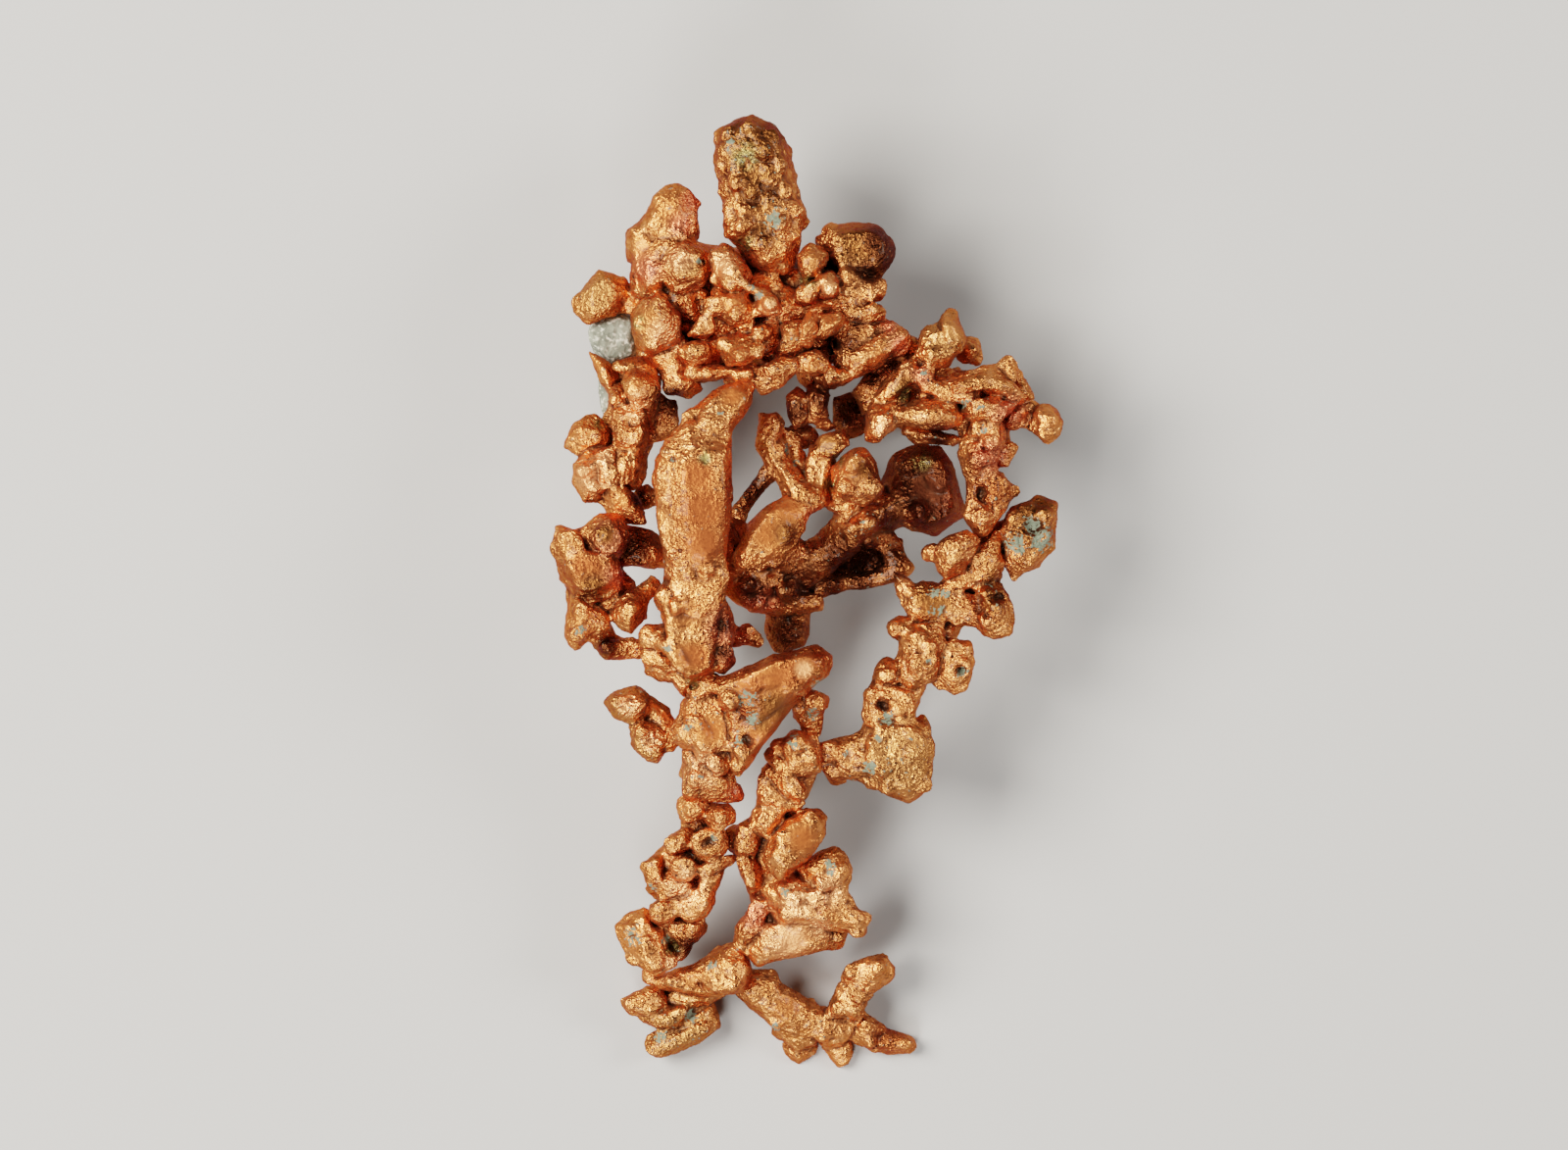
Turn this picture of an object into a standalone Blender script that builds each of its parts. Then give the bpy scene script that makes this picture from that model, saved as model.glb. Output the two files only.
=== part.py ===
"""A branching growth of native copper with a scrap of its host rock, lying on its back.

Blender 4.5, metres, +Z up. Y runs along the growth, from its two feet to the thumb at its head, X runs
across it and Z is its depth. It rests on Z = 0 on flat crystal faces behind the head, behind the right
arm and under each foot. Sizes below are in millimetres, and MM turns them into metres.

Every branch is a crowd of crystals grown into each other, so each node is the union of simple solids:
crystal() is a flat-faced crystal seen as an outline, grain() is a stubby crystal of 24 faces and stem()
is a rod. A branch that meets one made before it stops GAP short of it.
"""

import math
import random

import bmesh
import bpy
from mathutils import Vector

MM = 0.001
GAP = 0.3  # room between two branches where they meet
CENTRE_X = 0.02  # the middle of the width, which becomes X = 0
CENTRE_Y = 0.08  # the middle of the length, which becomes Y = 0

# Depths below are measured from a plane this far under the surface. Past KNEE_Y the legs and feet also
# bend down to the surface, by LEG_FALL for each millimetre of length.
UNDER = 1.4
KNEE_Y = -3.5
LEG_FALL = 0.41

CAP = 0.58  # size of a crystal's front face, against its outline
HEEL = 0.62  # size of its back face
ROOT = 2.1  # how far behind its middle a crystal of the crowd starts
UNEVEN = 0.16  # how far a crystal's corners stray, against its half thickness
FEW_SIDES = 6  # an outline with fewer corners keeps them all on both faces
STUBBY = 0.66  # how far out a grain's cube corners are, against its points
MOST_SLANT = 0.5  # how far a grain may lean, in radians
ROD_SIDES = 5
ROD_TIP = 0.7  # how far a rod runs on past its stops, against its radius
ROD_TWIST = 0.3  # turn of each end of a rod, in radians
ROD_UNEVEN = 0.08
MOST_SHELL = 2.5  # the furthest that a sharp corner moves out, against the faces beside it
SAME_POINT = 0.0005
DETAIL = 0.665  # share of the triangles that a branch keeps
NEARLY_FLAT = 0.06  # a corner this near the surface lies on it
FLOOR_SIDE = 60.0
FLOOR_DEPTH = 8.0

COPPER = (0.56, 0.235, 0.09)
GOLDEN = (0.42, 0.19, 0.06)
PINK = (0.60, 0.22, 0.12)
STONE = (0.33, 0.40, 0.35)


def clear_scene():
    for thing in list(bpy.data.objects):
        bpy.data.objects.remove(thing, do_unlink=True)


def new_collection(name):
    made = bpy.data.collections.new(name)
    bpy.context.scene.collection.children.link(made)
    return made


def fall(y):
    """How far the growth has dropped towards the surface at this place along it."""
    return UNDER + LEG_FALL * max(0.0, KNEE_Y - y)


def hull(points):
    """The closed, flat-faced solid round these points."""
    shape = bmesh.new()
    for x, y, z in points:
        shape.verts.new(Vector((x - CENTRE_X, y - CENTRE_Y, z)) * MM)
    bmesh.ops.convex_hull(shape, input=shape.verts)
    inner = [vert for vert in shape.verts if not vert.link_faces]
    bmesh.ops.delete(shape, geom=inner, context="VERTS")
    bmesh.ops.recalc_face_normals(shape, faces=shape.faces)
    mesh = bpy.data.meshes.new("lump")
    shape.to_mesh(mesh)
    shape.free()
    return mesh


def crystal(outline, z, half, lean=(0.0, 0.0), cap=CAP, root=None):
    """A crystal with this outline, its middle at z, and a front face that leans by these slopes.

    It reaches half in front of its middle, and root, or else half, behind it.
    """
    root = root or half
    count = len(outline)
    middle_x = sum(x for x, y in outline) / count
    middle_y = sum(y for x, y in outline) / count
    z = z - fall(middle_y)
    points = []
    for index, (x, y) in enumerate(outline):
        stray = random.uniform(-UNEVEN, UNEVEN) * half
        points.append((x, y, z + stray))
        if index % 2 == 0 or count < FEW_SIDES:
            across, along = x - middle_x, y - middle_y
            rise = half + lean[0] * across + lean[1] * along
            points.append((middle_x + cap * across, middle_y + cap * along, z + rise - abs(stray)))
        if index % 2 == 1 or count < FEW_SIDES:
            across, along = HEEL * (x - middle_x), HEEL * (y - middle_y)
            points.append((middle_x + across, middle_y + along, z - root + stray))
    return hull(points)


def sprout(outline, z, half, lean=(0.0, 0.0)):
    """A crystal of the crowd at the head, rooted in the mass behind it."""
    return crystal(outline, z, half, lean, root=ROOT)


def grain(x, y, z, across, along=None, deep=None, turn=0.0):
    """A stubby crystal: a cube whose six faces each rise to a point."""
    along = along or across
    deep = deep or across
    points = []
    for i in (-1, 1):
        for j in (-1, 1):
            for k in (-1, 1):
                points.append((i * STUBBY, j * STUBBY, k * STUBBY))
    for i in (-1, 1):
        points += [(i, 0, 0), (0, i, 0), (0, 0, i)]
    slant = random.uniform(-MOST_SLANT, MOST_SLANT)
    placed = []
    for i, j, k in points:
        i, k = i * math.cos(slant) - k * math.sin(slant), i * math.sin(slant) + k * math.cos(slant)
        i, j = i * across, j * along
        turned_x = i * math.cos(turn) - j * math.sin(turn)
        turned_y = i * math.sin(turn) + j * math.cos(turn)
        placed.append((x + turned_x, y + turned_y, z - fall(y) + k * deep))
    return hull(placed)


def stem(*stops):
    """Rods from stop to stop, each stop being (x, y, z, radius)."""
    return [rod(first, second) for first, second in zip(stops, stops[1:])]


def rod(first, second):
    """A rod between two stops, pointed past each by part of its radius."""
    ends = [Vector((x, y, z - fall(y))) for x, y, z, radius in (first, second)]
    run = (ends[1] - ends[0]).normalized()
    side = run.orthogonal().normalized()
    other = run.cross(side)
    points = []
    for end, radius, way in ((ends[0], first[3], -1), (ends[1], second[3], 1)):
        points.append(end + run * way * radius * ROD_TIP)
        for index in range(ROD_SIDES):
            angle = math.tau * index / ROD_SIDES + ROD_TWIST * way
            spoke = side * math.cos(angle) + other * math.sin(angle)
            points.append(end + spoke * radius * random.uniform(1 - ROD_UNEVEN, 1 + ROD_UNEVEN))
    return hull(points)


def crown():
    """The head of the growth: the thumb, the lobes beside it and the crowd of crystals below them."""
    return [
        # The mass behind the crowd, and its two lumps that reach the surface.
        crystal([(-6.6, 10.8), (-6.2, 13.2), (-4.6, 14.6), (-0.8, 13.8), (2.4, 13.6), (2.8, 11.2),
                 (1.6, 9.6), (-4.4, 9.5)], z=6.0, half=2.4, cap=0.8),
        crystal([(-6.9, 10.6), (-6.6, 12.6), (-5.2, 14.0), (-3.6, 13.4), (-3.4, 10.6), (-4.6, 9.4),
                 (-6.2, 9.6)], z=2.9, half=2.6, cap=0.85),
        crystal([(-3.2, 11.4), (-2.6, 13.6), (-0.6, 13.4), (0.2, 11.8), (-1.0, 10.2), (-2.4, 10.2)],
                z=3.3, half=2.5, cap=0.8),
        crystal([(0.2, 12.6), (1.6, 13.4), (2.6, 12.2), (2.4, 10.6), (0.8, 10.0), (-0.2, 11.2)],
                z=4.2, half=2.0, cap=0.8),
        # Middling crystals in the hollows of the crowd.
        *[grain(x, y, 8.3, 1.05, 0.9, 1.0, turn=0.7 * x) for x, y in (
            (-3.0, 12.4), (-1.7, 12.4), (-0.9, 11.9), (-3.1, 11.1), (-5.1, 12.2), (0.5, 12.4), (1.7, 12.4),
            (1.9, 10.6), (-1.6, 10.6), (-4.0, 10.0), (-5.6, 10.0))],
        # The thumb: its cap, its lower half and the bumps on it.
        crystal([(-3.9, 18.0), (-3.6, 19.0), (-3.0, 19.45), (-2.2, 19.65), (-1.1, 19.4), (-0.8, 18.3),
                 (-0.5, 17.2), (-0.7, 16.2), (-3.5, 16.3)], z=8.0, half=1.5, cap=0.72),
        crystal([(-3.6, 16.8), (-0.5, 16.6), (-0.2, 15.3), (-0.6, 13.6), (-1.5, 12.8), (-2.4, 13.6),
                 (-3.3, 15.0)], z=8.1, half=1.45, cap=0.66),
        grain(-0.75, 15.6, 8.3, 0.65, 0.75, 0.9),
        grain(-2.9, 15.2, 8.9, 0.55, 0.7, 0.5),
        grain(-2.4, 18.3, 8.9, 1.0, 0.9, 0.8, turn=0.4),
        # The lobes left of the thumb.
        grain(-5.5, 15.8, 8.2, 1.05, 1.15, 1.2, turn=0.2),
        grain(-6.75, 14.5, 8.0, 0.9, 1.0, 1.1),
        crystal([(-7.3, 13.4), (-7.2, 12.4), (-6.4, 11.9), (-5.5, 12.4), (-4.5, 14.3), (-4.6, 15.4),
                 (-6.0, 15.2), (-7.2, 14.2)], z=8.2, half=1.3),
        grain(-5.05, 13.5, 9.1, 1.1, 1.1, 1.0, turn=0.6),
        crystal([(-8.5, 13.5), (-7.6, 13.1), (-7.2, 12.4), (-8.0, 11.5), (-9.0, 11.1), (-9.6, 11.6),
                 (-9.2, 12.6)], z=7.5, half=1.0, cap=0.66),
        *stem((-8.0, 12.2, 7.4, 0.6), (-6.6, 12.2, 7.4, 0.7)),
        # The crowd, from the left.
        sprout([(-7.3, 11.5), (-6.9, 12.2), (-5.9, 12.4), (-5.1, 11.6), (-5.1, 10.5), (-6.3, 9.9),
                 (-7.1, 10.0)], z=9.2, half=1.25, lean=(0.25, 0.1)),
        sprout([(-4.1, 14.0), (-3.4, 14.6), (-2.9, 14.2), (-2.2, 13.2), (-2.6, 12.6), (-3.9, 12.8)],
                z=9.5, half=1.2, lean=(0.3, -0.2)),
        sprout([(-2.3, 12.6), (-1.8, 12.8), (-1.3, 12.2), (-1.0, 11.6), (-1.4, 11.3), (-2.1, 11.6)],
                z=9.9, half=0.85, lean=(0.35, 0.2)),
        sprout([(-4.1, 12.7), (-2.6, 12.8), (-2.0, 12.0), (-2.1, 11.1), (-2.9, 10.9), (-4.0, 11.6)],
                z=9.3, half=1.1),
        grain(-3.9, 11.9, 10.0, 0.45, turn=0.3),
        sprout([(-5.0, 10.7), (-4.6, 11.3), (-3.9, 11.1), (-4.2, 10.6)], z=9.8, half=0.5),
        grain(-4.6, 10.0, 9.8, 0.65, 0.5, 0.5),
        sprout([(-3.8, 10.5), (-2.9, 10.8), (-2.3, 10.7), (-1.85, 10.1), (-2.6, 9.5), (-3.5, 9.5)],
                z=9.9, half=0.9, lean=(0.1, -0.3)),
        sprout([(-2.4, 10.9), (-1.8, 11.15), (-1.4, 10.9), (-1.5, 10.5), (-2.1, 10.4)], z=9.7, half=0.5),
        sprout([(-1.1, 11.2), (-0.4, 11.3), (-0.3, 10.7), (-0.4, 10.0), (-1.2, 9.8)], z=9.7, half=0.9,
                lean=(0.2, 0.3)),
        sprout([(-0.4, 11.0), (0.0, 11.7), (0.35, 11.5), (0.35, 10.8), (0.0, 10.1), (-0.4, 10.2)],
                z=9.9, half=0.95, lean=(-0.3, 0.2)),
        sprout([(0.25, 11.5), (1.2, 11.65), (1.55, 11.3), (1.2, 10.8), (0.3, 10.5)], z=9.7, half=0.85,
                lean=(0.2, -0.3)),
        sprout([(-0.5, 9.9), (0.5, 10.1), (0.9, 9.7), (0.9, 9.3), (0.0, 8.95), (-0.4, 9.2)],
               z=9.5, half=0.55),
        # The brow, a band of small crystals over the hollow.
        sprout([(-5.0, 9.3), (-4.4, 9.5), (-3.4, 9.4), (-3.5, 8.8), (-4.6, 8.9)], z=9.4, half=0.6),
        sprout([(-3.7, 9.3), (-2.8, 9.4), (-2.2, 9.5), (-2.1, 8.6), (-3.4, 8.9)], z=9.5, half=0.65),
        sprout([(-2.4, 9.3), (-1.3, 9.8), (-0.6, 9.7), (-0.4, 9.2), (-1.2, 8.5), (-2.0, 8.5)],
                z=9.5, half=0.7, lean=(0.1, 0.3)),
        sprout([(0.1, 8.9), (0.8, 9.2), (1.5, 9.35), (2.0, 9.1), (1.4, 8.6), (0.7, 8.5)], z=9.0, half=0.5),
        # The crystals under the thumb and the lump at the right.
        sprout([(-0.5, 14.0), (0.2, 14.5), (0.9, 13.9), (0.4, 13.0), (-0.3, 12.9)], z=9.2, half=0.85),
        grain(-0.1, 12.4, 9.4, 0.55, 0.5, 0.6),
        sprout([(0.25, 13.0), (0.9, 13.35), (1.2, 12.8), (1.1, 12.2), (0.5, 12.1)], z=9.4, half=0.7),
        crystal([(0.2, 14.5), (0.7, 15.1), (1.7, 15.35), (2.9, 15.3), (3.5, 14.6), (3.5, 13.8), (2.9, 13.0),
                 (1.2, 13.0)], z=7.4, half=1.4, cap=0.7),
        sprout([(0.8, 13.9), (1.4, 14.3), (1.8, 13.6), (1.4, 12.9)], z=8.3, half=0.7),
        sprout([(1.9, 12.7), (2.5, 13.05), (3.2, 12.9), (3.1, 12.2), (2.1, 12.1)], z=8.3, half=0.65),
        sprout([(1.1, 12.0), (2.5, 12.1), (3.1, 11.9), (3.1, 11.4), (2.2, 11.1), (1.3, 11.3)],
               z=8.6, half=0.6),
        sprout([(2.1, 11.3), (3.5, 11.35), (3.6, 11.0), (3.0, 10.6), (2.2, 10.7)], z=8.3, half=0.55),
        *stem((1.6, 9.6, 8.6, 0.8), (3.7, 10.5, 8.5, 0.7)),
        grain(4.15, 10.2, 7.6, 0.55),
        # The hanging crystals in the hollow.
        *stem((0.2, 10.0, 7.2, 0.9), (0.3, 8.3, 7.8, 0.6)),
        crystal([(0.0, 8.4), (0.4, 8.8), (0.8, 8.4), (0.8, 7.5), (0.4, 7.0), (0.1, 7.2)], z=8.1, half=0.7),
        crystal([(-1.0, 8.2), (-0.5, 8.6), (0.1, 8.2), (0.0, 7.2), (-0.5, 6.8), (-0.8, 7.4)],
                z=8.0, half=0.7),
        crystal([(0.2, 6.9), (0.5, 7.4), (1.2, 7.1), (0.7, 6.7)], z=7.8, half=0.4),
        crystal([(-6.0, 9.2), (-5.3, 9.5), (-4.6, 9.2), (-4.3, 8.5), (-4.9, 8.2), (-5.7, 8.4)],
                z=8.3, half=0.8),
    ]


def crown_pits():
    return [
        grain(-1.3, 8.4, 8.3, 0.8, 0.3, 0.7),
        grain(-2.2, 12.2, 10.5, 0.3),
        grain(-4.4, 11.9, 10.3, 0.35),
        grain(1.1, 10.3, 9.9, 0.4),
    ]


def central_blade():
    """The long blade in front, bent back at its top, and the ledged body that it grows from."""
    return [
        crystal([(-6.2, 3.0), (-6.2, 5.2), (-5.9, 6.5), (-4.9, 7.5), (-3.1, 7.0), (-3.4, 5.6), (-3.3, 1.4),
                 (-4.2, 0.4), (-5.6, 0.8), (-5.6, 2.2)], z=10.4, half=1.15, lean=(-0.06, 0.0), cap=0.72),
        crystal([(-4.9, 6.6), (-4.6, 7.9), (-3.8, 8.5), (-3.0, 8.85), (-2.4, 8.75), (-2.3, 8.0), (-2.7, 7.3),
                 (-3.6, 6.2)], z=10.0, half=0.95, lean=(0.0, -0.25), cap=0.7),
        crystal([(-6.2, 0.2), (-5.4, 1.2), (-3.3, 1.3), (-3.4, 0.4), (-3.8, -1.4), (-4.4, -2.9), (-5.2, -2.6),
                 (-5.7, -1.0)], z=9.1, half=1.5, cap=0.76),
        crystal([(-6.4, 0.0), (-6.0, 0.5), (-5.4, 0.4), (-5.3, -0.3), (-5.8, -0.9)], z=9.6, half=0.9),
        # Ledges down the left side.
        crystal([(-6.95, -1.5), (-6.3, -1.1), (-5.0, -1.0), (-5.0, -1.7), (-6.6, -2.0)], z=9.0, half=1.0),
        crystal([(-6.95, -2.1), (-6.3, -1.9), (-5.0, -2.4), (-5.2, -2.8), (-6.7, -2.6)], z=8.8, half=0.95),
        crystal([(-6.6, -2.9), (-6.0, -2.6), (-5.3, -2.7), (-5.2, -3.3), (-6.2, -3.5)], z=8.5, half=0.8),
        crystal([(-5.9, -2.8), (-5.1, -2.6), (-4.9, -3.6), (-5.1, -4.1), (-5.5, -3.7)], z=8.6, half=0.75),
        # The keel down the right side and the lump at its foot.
        crystal([(-4.1, 0.2), (-3.2, -0.3), (-3.0, -1.2), (-3.2, -2.3), (-3.8, -3.0), (-4.3, -2.6)],
                z=8.7, half=1.3),
        crystal([(-3.8, -2.1), (-3.2, -2.0), (-2.95, -2.5), (-3.4, -3.2), (-3.9, -2.9)], z=9.0, half=0.9),
        crystal([(-3.5, -1.4), (-2.5, -1.1), (-1.9, -1.4), (-2.2, -1.9), (-3.3, -2.0)], z=7.4, half=0.6),
        grain(-4.6, -0.6, 7.4, 1.1, 1.6, 1.0),
        grain(-4.5, 3.6, 9.2, 0.9, 1.6, 0.8),
    ]


def left_flank():
    """The chain of block crystals down the left side, from the crown to the cat-ear cluster."""
    return [
        crystal([(-7.9, 9.4), (-7.5, 9.8), (-6.4, 9.8), (-5.9, 9.3), (-6.3, 8.8), (-7.3, 8.8)],
                z=8.2, half=0.8),
        crystal([(-7.6, 8.9), (-7.2, 9.4), (-6.2, 9.1), (-5.9, 8.5), (-6.5, 7.7), (-7.2, 7.8)],
                z=8.8, half=1.0, lean=(0.1, 0.2)),
        crystal([(-9.0, 10.1), (-8.2, 9.5), (-7.7, 8.8), (-8.0, 8.1), (-8.6, 8.7), (-8.8, 9.3)],
                z=7.6, half=0.7),
        crystal([(-8.2, 8.4), (-7.6, 8.7), (-7.1, 8.2), (-7.6, 7.4), (-8.1, 7.8)], z=8.0, half=0.8),
        crystal([(-8.1, 7.6), (-7.3, 8.0), (-6.6, 7.6), (-6.5, 6.9), (-7.2, 6.7), (-8.0, 6.8)],
                z=8.3, half=0.9, lean=(-0.2, 0.1)),
        crystal([(-8.0, 6.9), (-7.3, 7.1), (-6.6, 7.2), (-6.4, 6.6), (-7.0, 5.9), (-7.9, 6.0)],
                z=8.5, half=0.95, lean=(0.2, 0.1)),
        crystal([(-10.0, 6.1), (-9.5, 7.15), (-8.8, 7.15), (-8.2, 6.9), (-8.2, 6.3), (-9.3, 5.8)],
                z=8.0, half=0.8),
        crystal([(-9.6, 5.5), (-9.0, 6.1), (-8.2, 6.2), (-8.0, 4.8), (-8.3, 4.1), (-9.1, 3.7), (-9.6, 4.7)],
                z=8.2, half=0.95, lean=(-0.1, 0.0)),
        crystal([(-8.6, 6.0), (-7.8, 6.3), (-7.4, 5.0), (-7.9, 4.1), (-8.5, 4.6)], z=8.5, half=0.9),
        crystal([(-7.9, 6.2), (-7.2, 6.2), (-6.5, 6.0), (-6.5, 5.3), (-7.1, 4.9), (-7.8, 5.0)],
                z=8.3, half=0.9),
        crystal([(-7.8, 5.2), (-6.9, 5.5), (-6.5, 5.1), (-6.9, 4.5), (-7.8, 4.5)], z=8.1, half=0.8),
        crystal([(-8.3, 4.4), (-7.6, 4.7), (-6.8, 3.9), (-6.5, 3.05), (-7.2, 3.0), (-8.2, 3.3)],
                z=8.3, half=0.85, lean=(0.1, 0.25)),
        crystal([(-7.2, 4.4), (-6.7, 4.7), (-6.2, 4.4), (-6.2, 3.8), (-7.0, 3.6)], z=6.8, half=0.7),
        # The back of the chain.
        *stem((-6.9, 9.0, 7.0, 1.1), (-7.4, 6.8, 6.8, 1.2), (-8.2, 5.0, 6.9, 1.1)),
        grain(-6.3, 7.4, 6.0, 1.0, 1.1, 0.9, turn=0.5),
        grain(-8.2, 6.0, 5.6, 1.0, 0.9, 0.8),
    ]


def left_cluster():
    """The cluster below the flank: an ear, a round boss, the body under them and a foot."""
    return [
        crystal([(-10.35, 2.9), (-10.1, 3.0), (-9.2, 2.6), (-8.9, 1.8), (-10.2, 1.6)], z=8.7, half=0.9,
                lean=(0.2, -0.3)),
        grain(-8.2, 2.55, 9.2, 1.05, 1.0, 0.9, turn=0.35),
        crystal([(-10.35, 2.3), (-9.0, 2.3), (-7.8, 2.0), (-7.5, 1.0), (-7.6, 0.4), (-8.4, -0.2), (-9.6, 0.0),
                 (-10.1, 0.9)], z=8.6, half=1.35, lean=(0.0, 0.1), cap=0.72),
        crystal([(-8.9, -0.3), (-8.0, 0.3), (-7.5, 0.4), (-7.6, -0.1), (-8.2, -0.6)], z=8.2, half=0.7),
        crystal([(-9.7, 0.1), (-8.8, 0.0), (-8.0, -0.8), (-8.5, -1.3), (-9.5, -2.3), (-9.9, -1.9),
                 (-9.95, -1.2)], z=8.3, half=1.1),
        crystal([(-7.9, 3.0), (-6.4, 2.9), (-5.6, 2.1), (-5.5, 1.3), (-6.7, 1.6), (-7.8, 1.2)],
                z=7.6, half=0.9),
        crystal([(-8.7, -2.0), (-8.2, -1.6), (-7.6, -1.6), (-7.6, -2.3), (-8.2, -2.4)], z=7.4, half=0.6),
        *stem((-8.9, -1.0, 7.2, 0.6), (-8.1, -1.9, 7.2, 0.5), (-6.9, -2.1, 7.4, 0.4)),
        crystal([(-8.1, -0.7), (-7.7, 0.0), (-7.2, 0.3), (-6.6, 0.0), (-6.6, -0.7), (-7.3, -1.5)],
                z=8.6, half=0.9, lean=(-0.2, -0.1)),
        *stem((-6.9, 0.0, 8.4, 0.4), (-6.3, 0.5, 8.3, 0.35)),
        *stem((-8.2, 0.6, 7.6, 0.8), (-7.3, -0.6, 8.0, 0.5)),
        grain(-8.8, 1.4, 6.9, 1.1, 1.2, 0.9, turn=0.8),
    ]


def inner_fork():
    """The crystals inside the open middle: the leaf, the two prongs, the round knob and the mass behind."""
    return [
        crystal([(-3.1, 1.7), (-2.4, 3.0), (-1.9, 3.6), (-1.0, 4.2), (0.1, 3.8), (-0.2, 2.6), (-0.6, 1.9),
                 (-2.1, 1.2), (-2.9, 1.1)], z=8.7, half=0.85, lean=(-0.1, 0.1), cap=0.7),
        *stem((-1.35, 7.5, 8.0, 0.45), (-1.75, 6.3, 8.2, 0.42), (-1.4, 5.4, 8.3, 0.42),
              (-0.4, 4.2, 8.4, 0.45)),
        *stem((-0.9, 6.8, 7.6, 0.3), (-0.45, 5.7, 7.8, 0.28), (-0.3, 4.6, 8.2, 0.3)),
        crystal([(0.35, 6.5), (1.4, 6.95), (1.6, 6.4), (0.9, 5.7), (0.1, 5.6)], z=8.3, half=0.5,
                lean=(0.0, 0.4)),
        crystal([(0.05, 6.2), (0.8, 6.0), (0.7, 5.0), (0.4, 4.1), (-0.3, 4.5), (0.05, 5.3)],
                z=8.2, half=0.5),
        crystal([(-1.0, 4.2), (-0.4, 4.9), (0.5, 4.9), (0.9, 3.9), (0.0, 3.4)], z=8.2, half=0.8),
        crystal([(0.85, 4.6), (0.9, 5.3), (1.7, 6.15), (2.3, 6.3), (2.8, 5.5), (3.1, 4.3), (2.2, 3.8),
                 (1.1, 4.0)], z=9.0, half=1.1, lean=(0.1, 0.15), cap=0.62),
        crystal([(2.5, 3.85), (3.05, 3.75), (3.2, 3.1), (2.6, 2.5), (1.8, 2.1), (1.4, 2.7), (1.9, 3.3)],
                z=7.7, half=0.8),
        *stem((0.6, 4.3, 7.6, 0.6), (1.8, 3.9, 7.4, 0.6), (1.7, 2.7, 6.7, 0.85), (-0.3, 1.1, 5.7, 0.8)),
        # The broad mass behind, which the others grow from.
        *stem((-1.6, 2.3, 7.2, 0.9), (-0.4, 1.0, 5.8, 1.0), (-3.0, 0.6, 6.8, 1.0)),
        grain(-0.85, 0.4, 6.9, 0.5),
        crystal([(-2.6, 0.3), (-1.5, 0.3), (0.6, 0.1), (0.6, -0.6), (-1.2, -0.8), (-2.6, -0.6)],
                z=6.2, half=0.7),
        crystal([(-1.6, 0.0), (0.0, -0.2), (0.1, -1.3), (-0.1, -2.0), (-1.4, -2.3), (-1.8, -1.6)],
                z=5.2, half=0.7),
        *stem((-3.1, 3.2, 5.4, 0.35), (-1.6, 5.0, 5.2, 0.3), (-0.6, 6.6, 6.0, 0.45)),
        crystal([(-3.3, 3.3), (-2.5, 3.1), (-2.2, 2.0), (-3.3, 1.5)], z=6.6, half=0.9),
        grain(-0.3, 6.6, 6.6, 0.7, 0.6, 0.7),
        # The dark block at the right and the arc below it.
        crystal([(3.3, 4.8), (3.9, 5.5), (4.6, 6.1), (5.5, 6.1), (6.0, 5.2), (6.5, 3.4), (5.3, 2.5),
                 (3.9, 3.0), (3.1, 3.6)], z=4.8, half=1.7, lean=(0.1, 0.1), cap=0.7),
        *stem((2.2, 3.2, 6.0, 0.8), (3.9, 3.9, 5.0, 0.9)),
        *stem((2.3, 2.9, 5.6, 0.6), (3.4, 2.3, 5.2, 0.5), (3.9, 1.0, 5.4, 0.35)),
    ]


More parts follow.
